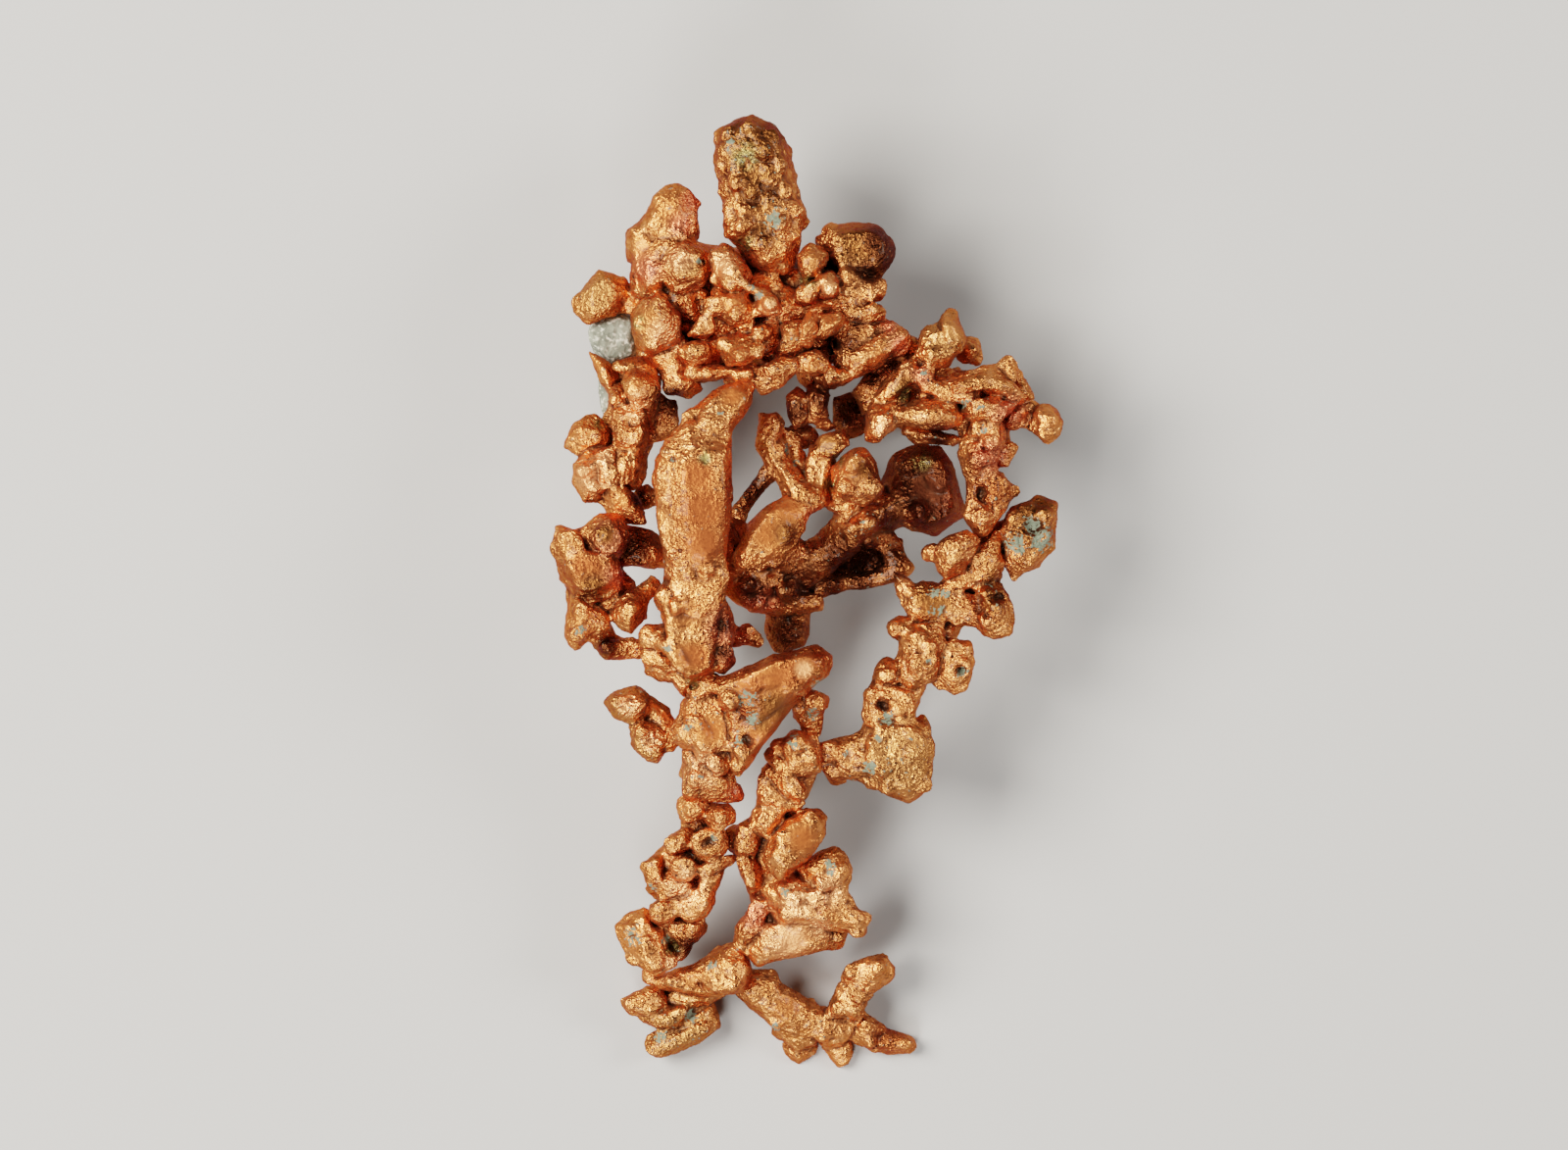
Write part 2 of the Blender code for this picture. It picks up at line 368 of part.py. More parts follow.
def right_arm():
    """The arm that leaves the crown at the right and turns down: horn, beams, ridges and knobs."""
    return [
        crystal([(5.3, 11.5), (5.7, 11.85), (6.0, 11.6), (6.45, 10.6), (6.2, 10.0), (5.3, 10.3)],
                z=8.5, half=0.8, lean=(-0.1, -0.2)),
        crystal([(4.4, 9.8), (4.6, 10.7), (5.3, 10.8), (6.1, 10.2), (5.5, 9.6), (4.8, 9.2)],
                z=8.4, half=0.9),
        grain(6.5, 10.0, 7.2, 0.5, 0.5, 0.6),
        crystal([(4.3, 9.9), (3.3, 9.1), (2.5, 8.1), (2.9, 7.8), (3.9, 8.3), (4.8, 9.1)], z=8.6, half=0.85),
        crystal([(2.4, 8.0), (2.3, 7.2), (2.3, 6.5), (2.9, 6.3), (3.6, 7.0), (3.6, 8.1)], z=8.7, half=0.85,
                lean=(0.2, -0.1)),
        grain(4.5, 9.0, 8.7, 0.55),
        crystal([(3.5, 7.7), (4.4, 8.1), (5.8, 8.2), (6.2, 7.8), (6.4, 7.1), (5.6, 6.8), (4.5, 6.9),
                 (3.4, 7.1)], z=8.6, half=0.85, lean=(0.0, 0.2)),
        crystal([(3.9, 6.9), (5.3, 6.8), (6.4, 6.5), (5.9, 6.2), (4.2, 6.4)], z=6.9, half=0.7),
        crystal([(4.5, 8.3), (5.2, 9.05), (6.6, 9.1), (7.1, 8.6), (6.9, 8.0), (5.8, 7.8)], z=8.4, half=0.9,
                lean=(0.1, 0.2)),
        crystal([(6.3, 9.0), (7.0, 9.45), (7.6, 9.4), (8.75, 8.2), (8.4, 7.9), (7.2, 8.4)], z=8.5, half=0.7,
                lean=(-0.1, 0.3)),
        grain(8.15, 9.2, 8.2, 0.4),
        crystal([(8.3, 9.1), (9.0, 8.8), (9.3, 8.2), (9.0, 7.8), (8.3, 7.9)], z=7.3, half=0.7),
        crystal([(6.1, 7.7), (6.6, 8.1), (7.8, 8.2), (8.5, 7.8), (7.6, 7.1), (6.8, 7.2)], z=8.6, half=0.8),
        grain(8.5, 7.3, 7.5, 0.6, 0.5, 0.6),
        grain(9.8, 7.1, 7.7, 0.6, 0.78, 0.7),
        *stem((8.4, 7.7, 7.4, 0.6), (9.4, 7.2, 7.3, 0.5)),
        # The chain that runs down from the far end.
        crystal([(6.7, 7.4), (7.4, 7.7), (8.0, 7.1), (8.1, 6.3), (7.5, 5.6), (6.8, 5.9)], z=8.1, half=1.0,
                lean=(0.2, 0.0)),
        crystal([(6.1, 5.8), (6.6, 6.7), (7.8, 6.3), (7.8, 5.5), (7.0, 4.7), (6.4, 4.9)], z=8.0, half=1.0),
        crystal([(7.8, 6.6), (8.65, 6.2), (8.4, 5.7), (7.6, 5.3)], z=7.2, half=0.5),
        crystal([(6.4, 4.9), (7.1, 5.3), (7.9, 5.1), (8.5, 4.3), (8.0, 3.5), (6.6, 3.7)], z=7.8, half=1.0),
        crystal([(6.4, 3.9), (8.1, 3.7), (7.6, 3.0), (7.3, 2.5), (6.8, 2.4), (6.5, 3.1)], z=7.7, half=0.9),
        # The back of the arm, and the stub that it rests on.
        crystal([(3.3, 8.4), (4.2, 9.3), (5.8, 9.0), (6.3, 7.8), (5.2, 7.1), (3.6, 7.3)], z=5.6, half=1.9),
        crystal([(3.4, 8.0), (4.6, 9.6), (6.0, 8.9), (5.9, 7.6), (4.6, 6.7), (3.7, 7.0)], z=2.7, half=1.9,
                lean=(0.2, -0.1), cap=0.7),
        crystal([(2.0, 8.6), (3.2, 9.4), (4.2, 8.6), (3.6, 7.2), (2.4, 7.2)], z=4.3, half=1.4),
        *stem((4.6, 8.4, 6.8, 1.3), (7.2, 7.8, 6.9, 1.1), (7.2, 5.6, 6.8, 1.0)),
        grain(5.8, 8.6, 4.8, 1.0, 0.8, 1.1, turn=0.6),
        grain(6.9, 6.9, 5.6, 0.9, 1.0, 0.8),
    ]


def right_arm_pits():
    return [grain(7.1, 4.2, 9.0, 0.35), grain(3.9, 8.35, 9.5, 0.3), grain(6.2, 7.85, 9.6, 0.3)]


def right_chain():
    """The lower half of the right arm: the side lump, the star and the block at its foot."""
    return [
        crystal([(8.2, 3.7), (9.6, 4.2), (10.2, 3.95), (10.0, 2.6), (10.05, 2.1), (9.2, 1.2), (8.5, 0.85),
                 (8.0, 1.3), (7.8, 2.8)], z=7.3, half=1.1, cap=0.7),
        *stem((8.5, 2.6, 7.0, 0.7), (7.2, 2.2, 7.2, 0.6)),
        crystal([(5.2, 1.9), (5.6, 2.5), (6.5, 2.75), (7.0, 2.4), (6.4, 1.1), (5.7, 0.75), (5.3, 1.2)],
                z=8.2, half=0.95),
        grain(5.0, 1.85, 8.0, 0.4, 0.4, 0.4),
        crystal([(6.3, 2.0), (7.7, 2.4), (8.0, 1.5), (7.6, 0.5), (6.5, 0.6)], z=7.6, half=0.8),
        crystal([(3.5, 1.1), (4.7, 0.7), (5.6, 0.8), (5.6, -1.2), (4.1, -0.7), (3.9, 0.1)],
                z=7.5, half=0.75),
        crystal([(5.2, 0.8), (6.6, 0.6), (7.3, 0.8), (7.2, -1.2), (6.1, -0.9), (5.3, -1.2)],
                z=7.6, half=0.8),
        crystal([(6.9, 0.8), (7.9, 0.6), (8.2, 0.0), (8.45, -0.9), (8.2, -1.5), (7.6, -1.75), (6.8, -1.2)],
                z=7.6, half=0.85),
        crystal([(3.0, -1.1), (3.7, -0.7), (4.4, -0.8), (4.1, -1.6), (3.4, -1.7)], z=7.5, half=0.6),
        crystal([(3.7, -1.0), (5.4, -1.0), (5.6, -1.9), (5.3, -3.3), (4.3, -3.7), (3.7, -3.3)],
                z=7.6, half=0.9),
        crystal([(5.2, -1.7), (6.6, -1.7), (6.8, -2.6), (6.5, -3.6), (5.95, -4.0), (5.3, -3.4)],
                z=7.2, half=0.95),
        grain(3.15, -3.0, 7.6, 0.58, 0.6, 0.7),
        crystal([(2.25, -3.8), (2.7, -3.4), (4.4, -3.3), (4.7, -3.8), (4.3, -4.9), (2.15, -5.2)],
                z=7.5, half=0.85),
        crystal([(2.4, -4.6), (3.4, -5.0), (4.9, -5.0), (5.1, -5.4), (5.1, -7.0), (4.7, -8.0), (4.1, -8.35),
                 (2.9, -7.9), (1.8, -6.8)], z=7.8, half=1.3, lean=(-0.05, 0.05), cap=0.76),
        crystal([(0.6, -5.9), (1.8, -5.5), (3.0, -5.2), (3.0, -7.4), (2.1, -7.3), (0.9, -7.3)],
                z=7.7, half=1.0, cap=0.66),
        grain(1.15, -7.25, 7.5, 0.5, 0.45, 0.5),
        grain(2.7, -7.6, 7.4, 0.45, 0.35, 0.5),
        # The back of the chain.
        *stem((7.2, 1.6, 6.8, 0.8), (5.8, -0.2, 6.7, 0.8), (4.6, -2.4, 6.7, 0.9), (3.4, -4.6, 6.6, 0.9)),
        grain(3.8, -6.4, 6.2, 1.2, 1.1, 0.8, turn=0.4),
    ]


def right_chain_pits():
    return [
        grain(6.25, -2.95, 8.2, 0.22, 0.5, 0.5, turn=-0.3),
        grain(3.05, -4.3, 8.2, 0.22, 0.4, 0.5),
        grain(9.2, 2.9, 8.4, 0.4, 0.4, 0.3),
        grain(7.7, 0.05, 8.4, 0.3),
    ]


def trunk():
    """The kite-shaped blade below the middle and the trunk that carries it."""
    return [
        crystal([(-4.0, -3.7), (-2.2, -2.9), (-1.4, -2.3), (0.4, -1.95), (1.0, -2.4), (0.9, -3.1),
                 (-0.4, -4.0), (-2.3, -5.2)], z=9.4, half=1.1, lean=(0.0, 0.3), cap=0.74),
        crystal([(-4.0, -3.7), (-0.9, -3.6), (-0.4, -4.0), (-1.4, -5.5), (-2.3, -6.7), (-2.9, -7.3),
                 (-3.3, -6.2)], z=9.3, half=1.1, lean=(0.1, -0.1), cap=0.7),
        grain(-3.25, -4.15, 10.0, 0.5, 0.5, 0.5),
        crystal([(-5.3, -4.1), (-4.2, -3.4), (-3.2, -3.8), (-3.0, -6.4), (-4.4, -6.8), (-5.2, -5.0)],
                z=8.8, half=1.2, cap=0.7),
        crystal([(-5.7, -5.1), (-5.2, -4.85), (-4.5, -4.9), (-4.0, -5.5), (-4.0, -6.3), (-5.0, -6.1),
                 (-5.6, -5.7)], z=9.0, half=1.1),
        crystal([(-5.15, -6.0), (-3.1, -6.0), (-3.05, -7.2), (-3.2, -8.4), (-5.2, -8.2), (-5.1, -7.0)],
                z=8.9, half=1.15),
        crystal([(-4.1, -6.4), (-3.4, -6.4), (-3.3, -7.1), (-3.7, -7.3)], z=9.9, half=0.5),
        grain(-3.1, -8.0, 8.8, 0.5, 0.5, 0.6),
        # The standing knob right of the kite, and its stem.
        grain(0.3, -4.25, 8.3, 0.65, 0.5, 0.6, turn=0.2),
        *stem((-0.6, -3.6, 8.2, 0.6), (0.2, -4.6, 7.9, 0.45)),
        *stem((0.25, -4.5, 8.0, 0.45), (0.25, -5.35, 8.0, 0.42)),
        # The back of the trunk.
        *stem((-1.8, -3.6, 7.6, 0.9), (-4.2, -4.6, 7.6, 1.1), (-4.2, -7.4, 8.0, 1.0)),
        grain(-3.2, -5.2, 7.2, 1.1, 1.2, 0.8, turn=0.3),
    ]


def trunk_pits():
    return [grain(-4.7, -3.5, 9.9, 0.3, 0.25, 0.35), grain(-2.6, -5.7, 10.6, 0.3)]


def left_spur():
    """The two lumps on a short stalk left of the trunk."""
    return [
        crystal([(-8.4, -4.2), (-8.0, -3.85), (-7.3, -3.6), (-6.7, -3.8), (-6.5, -4.8), (-7.0, -5.2),
                 (-7.9, -4.9)], z=7.7, half=0.9, lean=(-0.1, 0.1), cap=0.68),
        crystal([(-7.3, -5.3), (-6.9, -4.9), (-6.1, -5.1), (-5.8, -5.8), (-6.1, -6.8), (-6.6, -6.7),
                 (-7.2, -6.1)], z=8.2, half=0.85, cap=0.7),
        *stem((-6.8, -4.3, 7.6, 0.5), (-6.0, -4.9, 7.8, 0.5), (-5.6, -6.0, 8.4, 0.5)),
    ]


def right_leg():
    """The rope of twisted crystals, the oval crystal beside it and the broad mass at the shin."""
    return [
        crystal([(-1.35, -6.1), (-0.5, -5.3), (0.1, -5.6), (0.55, -6.2), (0.6, -7.2), (-0.9, -7.4)],
                z=8.6, half=1.0, cap=0.64),
        crystal([(-1.8, -6.4), (-1.4, -6.2), (-0.5, -7.0), (-0.6, -7.6), (-1.1, -7.5)], z=8.7, half=0.9),
        crystal([(-2.0, -7.0), (-1.6, -6.8), (-0.2, -7.6), (0.0, -8.0), (-0.4, -8.5), (-1.1, -8.2)],
                z=8.8, half=0.95, lean=(0.1, -0.1)),
        crystal([(-2.1, -7.3), (-1.5, -7.6), (-0.6, -8.5), (-1.1, -8.9), (-2.1, -8.5)], z=8.8, half=0.95),
        crystal([(-2.3, -8.8), (-1.8, -8.2), (-1.0, -8.6), (-1.0, -9.1), (-1.7, -9.9), (-2.4, -9.6)],
                z=8.8, half=0.9),
        crystal([(-1.9, -10.65), (-1.6, -9.8), (-0.95, -9.1), (-0.15, -8.7), (0.55, -8.65), (0.85, -8.9),
                 (0.7, -9.65), (0.15, -10.45), (-1.1, -11.6)], z=9.2, half=0.95, lean=(-0.1, 0.1), cap=0.74),
        crystal([(-3.0, -9.4), (-2.4, -9.1), (-1.9, -9.8), (-2.2, -10.6), (-3.05, -10.5)], z=8.9, half=0.8),
        crystal([(-3.0, -10.4), (-2.2, -10.3), (-1.8, -11.2), (-2.0, -12.0), (-2.4, -12.3), (-2.9, -11.3)],
                z=8.9, half=0.85),
        crystal([(-0.5, -10.9), (0.5, -10.35), (1.1, -10.05), (1.5, -10.5), (1.7, -11.1), (1.55, -12.2),
                 (0.4, -12.6)], z=8.9, half=0.95),
        crystal([(-2.2, -11.8), (-1.2, -11.0), (0.6, -11.4), (1.8, -12.4), (2.5, -13.2), (2.2, -13.7),
                 (1.4, -13.4), (-1.2, -13.4)], z=9.0, half=1.1, cap=0.7),
        crystal([(-2.6, -14.6), (-2.0, -13.2), (0.2, -13.0), (1.2, -13.3), (1.0, -14.4), (0.2, -14.6),
                 (-1.2, -14.9), (-2.2, -15.1)], z=8.9, half=1.0, lean=(0.0, 0.3), cap=0.7),
        crystal([(0.8, -13.2), (1.55, -13.4), (1.5, -14.4), (0.9, -14.5)], z=8.6, half=0.6),
        crystal([(-3.0, -13.5), (-2.1, -12.1), (-1.4, -12.3), (-1.6, -13.9), (-2.8, -14.3)],
                z=8.7, half=0.9),
        *stem((-0.3, -6.4, 7.9, 1.0), (-1.4, -9.0, 8.0, 0.8), (-1.8, -11.0, 8.2, 0.9),
              (-1.2, -13.2, 8.2, 1.0)),
        grain(0.3, -12.2, 8.1, 1.1, 1.0, 0.8),
    ]


def left_leg():
    """The loose column of crescents, discs and shards on the left, down to the bulge at the ankle."""
    return [
        crystal([(-5.5, -8.3), (-5.0, -7.9), (-4.1, -8.2), (-4.2, -8.9), (-5.0, -9.2), (-5.4, -8.8)],
                z=8.9, half=0.9),
        crystal([(-4.3, -8.8), (-4.0, -8.4), (-3.3, -8.35), (-2.9, -8.8), (-3.0, -9.3), (-4.0, -9.5)],
                z=9.1, half=0.85),
        grain(-4.05, -10.0, 9.2, 0.75, 0.72, 0.8, turn=0.3),
        crystal([(-5.9, -10.0), (-5.3, -9.45), (-4.7, -9.4), (-4.6, -10.1), (-5.7, -10.5)], z=9.0, half=0.7),
        crystal([(-6.75, -11.0), (-6.4, -10.5), (-5.9, -10.3), (-6.1, -12.0), (-6.7, -11.7)],
                z=8.6, half=0.8),
        grain(-5.15, -11.0, 9.4, 0.6, 0.5, 0.5, turn=0.5),
        crystal([(-6.4, -11.7), (-5.8, -11.1), (-4.6, -11.5), (-4.7, -12.1), (-6.2, -12.5)],
                z=8.9, half=0.8),
        crystal([(-4.7, -11.1), (-3.2, -10.55), (-3.1, -10.85), (-4.4, -11.5)], z=9.3, half=0.6),
        crystal([(-4.6, -11.5), (-3.8, -11.15), (-3.5, -11.4), (-4.1, -11.9)], z=9.2, half=0.55),
        crystal([(-5.7, -12.6), (-4.3, -11.7), (-3.8, -11.9), (-3.9, -12.5), (-4.3, -13.1), (-5.2, -13.3)],
                z=9.4, half=0.8, lean=(0.1, 0.2)),
        grain(-6.05, -12.9, 9.3, 0.58, 0.5, 0.6),
        crystal([(-5.7, -13.8), (-5.3, -13.2), (-4.3, -12.9), (-4.1, -13.6), (-4.4, -14.2), (-5.2, -14.3)],
                z=8.8, half=0.8),
        crystal([(-5.7, -14.0), (-4.6, -14.2), (-4.9, -14.8), (-5.5, -15.1)], z=8.5, half=0.6),
        crystal([(-7.95, -13.5), (-7.5, -13.0), (-6.8, -12.65), (-6.0, -13.5), (-5.5, -14.9), (-6.1, -15.5),
                 (-7.1, -14.95), (-7.7, -14.3)], z=8.8, half=1.0, lean=(0.1, 0.0), cap=0.7),
        *stem((-4.6, -8.8, 8.1, 0.7), (-4.4, -10.2, 8.2, 0.7), (-5.2, -12.0, 8.2, 0.8),
              (-5.8, -13.8, 8.2, 0.8)),
        *stem((-5.9, -12.2, 8.1, 0.5), (-6.3, -11.3, 8.2, 0.5), (-5.2, -10.1, 8.4, 0.5)),
    ]


def left_foot():
    """The bar across the ankles and the ledged foot under it, with one flat crystal face on the surface."""
    return [
        crystal([(-6.3, -15.7), (-5.3, -15.2), (-4.4, -15.1), (-4.0, -16.5), (-5.0, -16.4), (-6.2, -16.1)],
                z=8.6, half=0.85, cap=0.7),
        crystal([(-4.7, -15.1), (-3.9, -14.7), (-2.8, -13.9), (-2.2, -15.1), (-2.6, -16.2), (-4.2, -16.5)],
                z=8.7, half=0.9, lean=(0.1, -0.1), cap=0.7),
        crystal([(-7.7, -16.6), (-7.2, -16.2), (-6.0, -15.9), (-5.8, -16.9), (-6.4, -17.3), (-7.4, -17.25)],
                z=8.2, half=0.85),
        crystal([(-6.9, -17.3), (-6.0, -16.8), (-4.9, -16.8), (-5.0, -17.7), (-5.7, -18.0)],
                z=8.2, half=0.85),
        crystal([(-6.5, -18.0), (-5.1, -17.3), (-3.85, -16.7), (-3.65, -17.7), (-4.6, -18.45), (-5.4, -18.65),
                 (-6.2, -19.05), (-6.6, -18.75)], z=8.1, half=0.9, lean=(0.0, 0.1), cap=0.72),
        grain(-6.5, -15.5, 8.4, 0.4, 0.4, 0.5),
        crystal([(-6.0, -17.4), (-5.6, -16.4), (-4.2, -16.2), (-3.9, -17.5), (-5.0, -18.1)], z=7.2, half=1.2,
                cap=0.7),
        *stem((-5.8, -16.8, 7.6, 0.7), (-3.6, -15.6, 7.8, 0.8)),
    ]


def right_foot():
    """The rod to the right foot, its fork and its toes, with one flat crystal face on the surface."""
    return [
        *stem((-2.5, -15.8, 8.2, 0.8), (-0.5, -17.4, 8.1, 0.9), (1.7, -17.6, 8.0, 0.65)),
        crystal([(-1.6, -18.0), (-0.9, -17.0), (0.2, -17.1), (0.3, -18.5), (-0.5, -18.7)], z=8.0, half=0.8),
        crystal([(-1.2, -18.4), (-0.4, -18.3), (0.3, -18.4), (0.25, -18.9), (-0.5, -19.3), (-1.0, -18.9)],
                z=7.6, half=0.6),
        crystal([(0.7, -17.2), (1.3, -15.8), (1.9, -15.7), (2.9, -16.1), (2.3, -16.6), (1.8, -17.4)],
                z=8.2, half=0.8),
        crystal([(1.25, -15.6), (1.8, -15.0), (2.45, -14.7), (3.15, -14.7), (3.6, -15.1), (3.5, -15.6),
                 (2.7, -16.2), (1.8, -16.1)], z=8.2, half=0.8, lean=(0.1, 0.1)),
        crystal([(1.7, -17.2), (2.2, -16.8), (2.8, -17.3), (3.2, -17.8), (2.6, -18.7), (1.8, -18.3)],
                z=8.0, half=0.8),
        crystal([(2.6, -17.6), (3.2, -17.7), (4.4, -18.15), (4.5, -18.5), (4.2, -18.85), (2.5, -18.75)],
                z=7.8, half=0.65),
        crystal([(0.5, -18.3), (1.8, -18.1), (1.85, -18.9), (1.7, -19.3), (1.1, -19.5), (0.8, -19.1)],
                z=7.7, half=0.7),
        crystal([(0.1, -17.8), (0.7, -17.0), (1.9, -17.1), (2.3, -18.0), (1.4, -18.7), (0.5, -18.6)],
                z=7.3, half=1.3, cap=0.7),
    ]


def matrix_stone():
    """The slab of granular host rock wedged at the left shoulder, which runs on behind the flank."""
    return [
        crystal([(-9.05, 11.0), (-8.8, 11.2), (-7.6, 11.7), (-7.0, 11.4), (-6.9, 9.8), (-8.2, 9.3),
                 (-8.9, 10.2)], z=6.5, half=0.9, cap=0.85),
        crystal([(-8.4, 9.9), (-7.4, 10.0), (-7.4, 7.6), (-8.1, 7.2), (-8.5, 7.6), (-8.6, 8.8)],
                z=5.6, half=0.7),
        grain(-8.2, 10.5, 6.9, 0.6, 0.5, 0.6),
        grain(-7.9, 8.8, 5.2, 0.7, 0.8, 0.6, turn=0.4),
    ]


def place(mesh, name, collection):
    thing = bpy.data.objects.new(name, mesh)
    collection.objects.link(thing)
    return thing


def grown(mesh):
    """The same lump with every face moved out by GAP."""
    shape = bmesh.new()
    shape.from_mesh(mesh)
    shape.normal_update()
    moves = []
    for vert in shape.verts:
        reach = min(vert.calc_shell_factor(), MOST_SHELL) * GAP
        moves.append((vert, vert.normal * reach * MM))
    for vert, move in moves:
        vert.co += move
    larger = bpy.data.meshes.new("room")
    shape.to_mesh(larger)
    shape.free()
    return larger


def floor_block(collection):
    """What lies below the surface, which cuts the resting crystals off flat."""
    shape = bmesh.new()
    bmesh.ops.create_cube(shape, size=1.0)
    bmesh.ops.scale(shape, vec=Vector((FLOOR_SIDE, FLOOR_SIDE, FLOOR_DEPTH)) * MM, verts=shape.verts)
    bmesh.ops.translate(shape, vec=Vector((0, 0, -FLOOR_DEPTH / 2)) * MM, verts=shape.verts)
    mesh = bpy.data.meshes.new("floor_block")
    shape.to_mesh(mesh)
    shape.free()
    return place(mesh, "floor_block", collection)


def box_of(thing):
    """The lowest and highest corner of an object whose mesh is already in place."""
    corners = [vert.co for vert in thing.data.vertices]
    low = Vector(min(corner[axis] for corner in corners) for axis in range(3))
    high = Vector(max(corner[axis] for corner in corners) for axis in range(3))
    return low, high


def near(first, second):
    (low_a, high_a), (low_b, high_b) = box_of(first), box_of(second)
    return all(low_a[axis] < high_b[axis] and low_b[axis] < high_a[axis] for axis in range(3))


def combine(base, others, operation):
    """Applies one Boolean of base with all the others at once."""
    if not others:
        return
    group = bpy.data.collections.new("operands")
    for other in others:
        group.objects.link(other)
    change = base.modifiers.new(operation, "BOOLEAN")
    change.operation = operation
    change.solver = "EXACT"
    change.operand_type = "COLLECTION"
    change.collection = group
    graph = bpy.context.evaluated_depsgraph_get()
    result = bpy.data.meshes.new_from_object(base.evaluated_get(graph))
    base.modifiers.clear()
    base.data = result
    bpy.data.collections.remove(group)


def keep_largest(mesh):
    """Drops the crumbs that a cut leaves loose, and merges points that fell together."""
    shape = bmesh.new()
    shape.from_mesh(mesh)
    bmesh.ops.remove_doubles(shape, verts=shape.verts, dist=SAME_POINT * MM)
    unseen = set(shape.faces)
    bodies = []
    while unseen:
        body = [unseen.pop()]
        for face in body:
            for edge in face.edges:
                for other in edge.link_faces:
                    if other in unseen:
                        unseen.remove(other)
                        body.append(other)
        bodies.append(body)
    bodies.sort(key=lambda body: sum(face.calc_area() for face in body))
    for body in bodies[:-1]:
        bmesh.ops.delete(shape, geom=body, context="FACES")
    loose = [vert for vert in shape.verts if not vert.link_faces]
    bmesh.ops.delete(shape, geom=loose, context="VERTS")
    bmesh.ops.triangulate(shape, faces=shape.faces)
    shape.to_mesh(mesh)
    shape.free()


def thin_out(branch):
    """Merges the unions' splinters, keeps DETAIL of the triangles and leaves the resting faces flat."""
    fewer = branch.modifiers.new("thin_out", "DECIMATE")
    fewer.ratio = DETAIL
    graph = bpy.context.evaluated_depsgraph_get()
    result = bpy.data.meshes.new_from_object(branch.evaluated_get(graph))
    branch.modifiers.clear()
    branch.data = result
    for vert in result.vertices:
        if vert.co.z < NEARLY_FLAT * MM:
            vert.co.z = 0.0


def finish(name, colour, metallic, roughness):
    made = bpy.data.materials.new(name + "_finish")
    made.use_nodes = True
    shader = made.node_tree.nodes["Principled BSDF"]
    shader.inputs["Base Color"].default_value = (*colour, 1.0)
    shader.inputs["Metallic"].default_value = metallic
    shader.inputs["Roughness"].default_value = roughness
    return made


class Growth:
    """The branches made so far, and the room that each later branch leaves round them."""

    def __init__(self, parts, cutters):
        self.parts = parts
        self.cutters = cutters
        self.floor = floor_block(cutters)
        self.room = []

    def add(self, name, lumps, pits=(), colour=COPPER, metallic=1.0, roughness=0.42):
        pieces = [place(mesh, "lump", self.cutters) for mesh in lumps]
        room = [place(grown(mesh), "room", self.cutters) for mesh in lumps]
        hollows = [place(mesh, "pit", self.cutters) for mesh in pits]
        branch = place(pieces[0].data.copy(), name, self.parts)
        combine(branch, pieces[1:], "UNION")
        taken = [block for block in self.room + hollows + [self.floor] if near(block, branch)]
        combine(branch, taken, "DIFFERENCE")
        keep_largest(branch.data)
        thin_out(branch)
        branch.data.materials.clear()
        branch.data.materials.append(finish(name, colour, metallic, roughness))
        self.room += room
        for thing in pieces + hollows:
            bpy.data.objects.remove(thing, do_unlink=True)
        return branch

    def hide_cutters(self):
        for thing in self.cutters.objects:
            thing.hide_render = True
            thing.display_type = "WIRE"


def main():
    clear_scene()
    random.seed(29)
    growth = Growth(new_collection("native_copper_growth"), new_collection("cutters"))
    growth.add("crown", crown(), crown_pits(), colour=GOLDEN)
    growth.add("central_blade", central_blade())
    growth.add("left_flank", left_flank())
    growth.add("left_cluster", left_cluster(), colour=PINK)
    growth.add("inner_fork", inner_fork())
    growth.add("right_arm", right_arm(), right_arm_pits(), colour=PINK)
    growth.add("right_chain", right_chain(), right_chain_pits())
    growth.add("trunk", trunk(), trunk_pits(), colour=PINK)
    growth.add("left_spur", left_spur(), colour=GOLDEN)
    growth.add("right_leg", right_leg())
    growth.add("left_leg", left_leg(), colour=PINK)
    growth.add("left_foot", left_foot(), colour=GOLDEN)
    growth.add("right_foot", right_foot())
    growth.add("matrix_stone", matrix_stone(), colour=STONE, metallic=0.0, roughness=0.8)
    growth.hide_cutters()


main()
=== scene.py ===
"""The look of a branching growth of native copper with a scrap of host rock, lying on its back.

Every branch of the frame is replaced by one fine mesh. A branch starts as a crowd of flat-faced crystals
with small knobs, strands and rings on them, which a voxel remesh grows together. Pits are pressed into it,
and it is bent, flattened into crystal faces, crumpled into small plates that lean each its own way, and
grained. It carries the attributes that its finish reads: how deep in a crease or hollow each place is, which
the finish paints dark as painted shade; how worn its ridges are, which are painted paler, partly as wear and
partly as painted highlight; how flat or rough; and the spots of each colour, among them painted shadow and
painted highlight. Shapes are worked out in millimetres, and MM turns them into the frame's metres.
"""

import math
import random

import bmesh
import bpy
import numpy as np
from mathutils import Matrix, Vector, noise
from mathutils.bvhtree import BVHTree
from mathutils.kdtree import KDTree


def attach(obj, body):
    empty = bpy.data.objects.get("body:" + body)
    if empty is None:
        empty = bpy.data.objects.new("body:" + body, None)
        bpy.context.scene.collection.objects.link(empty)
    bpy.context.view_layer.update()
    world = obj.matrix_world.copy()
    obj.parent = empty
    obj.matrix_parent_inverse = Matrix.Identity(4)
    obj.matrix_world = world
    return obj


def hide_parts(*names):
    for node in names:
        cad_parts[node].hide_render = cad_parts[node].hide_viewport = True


MM = 0.001
VOXEL = 0.076  # size of the fine mesh's squares

SEED = 29

# The crystals' places, as in the frame.
CENTRE_X = 0.02  # the frame's middle, in the crystals' own millimetres
CENTRE_Y = 0.08
UNDER = 1.4  # how far the growth has dropped towards the surface above the knee
KNEE_Y = -3.5
LEG_FALL = 0.41  # how steeply the legs drop below the knee

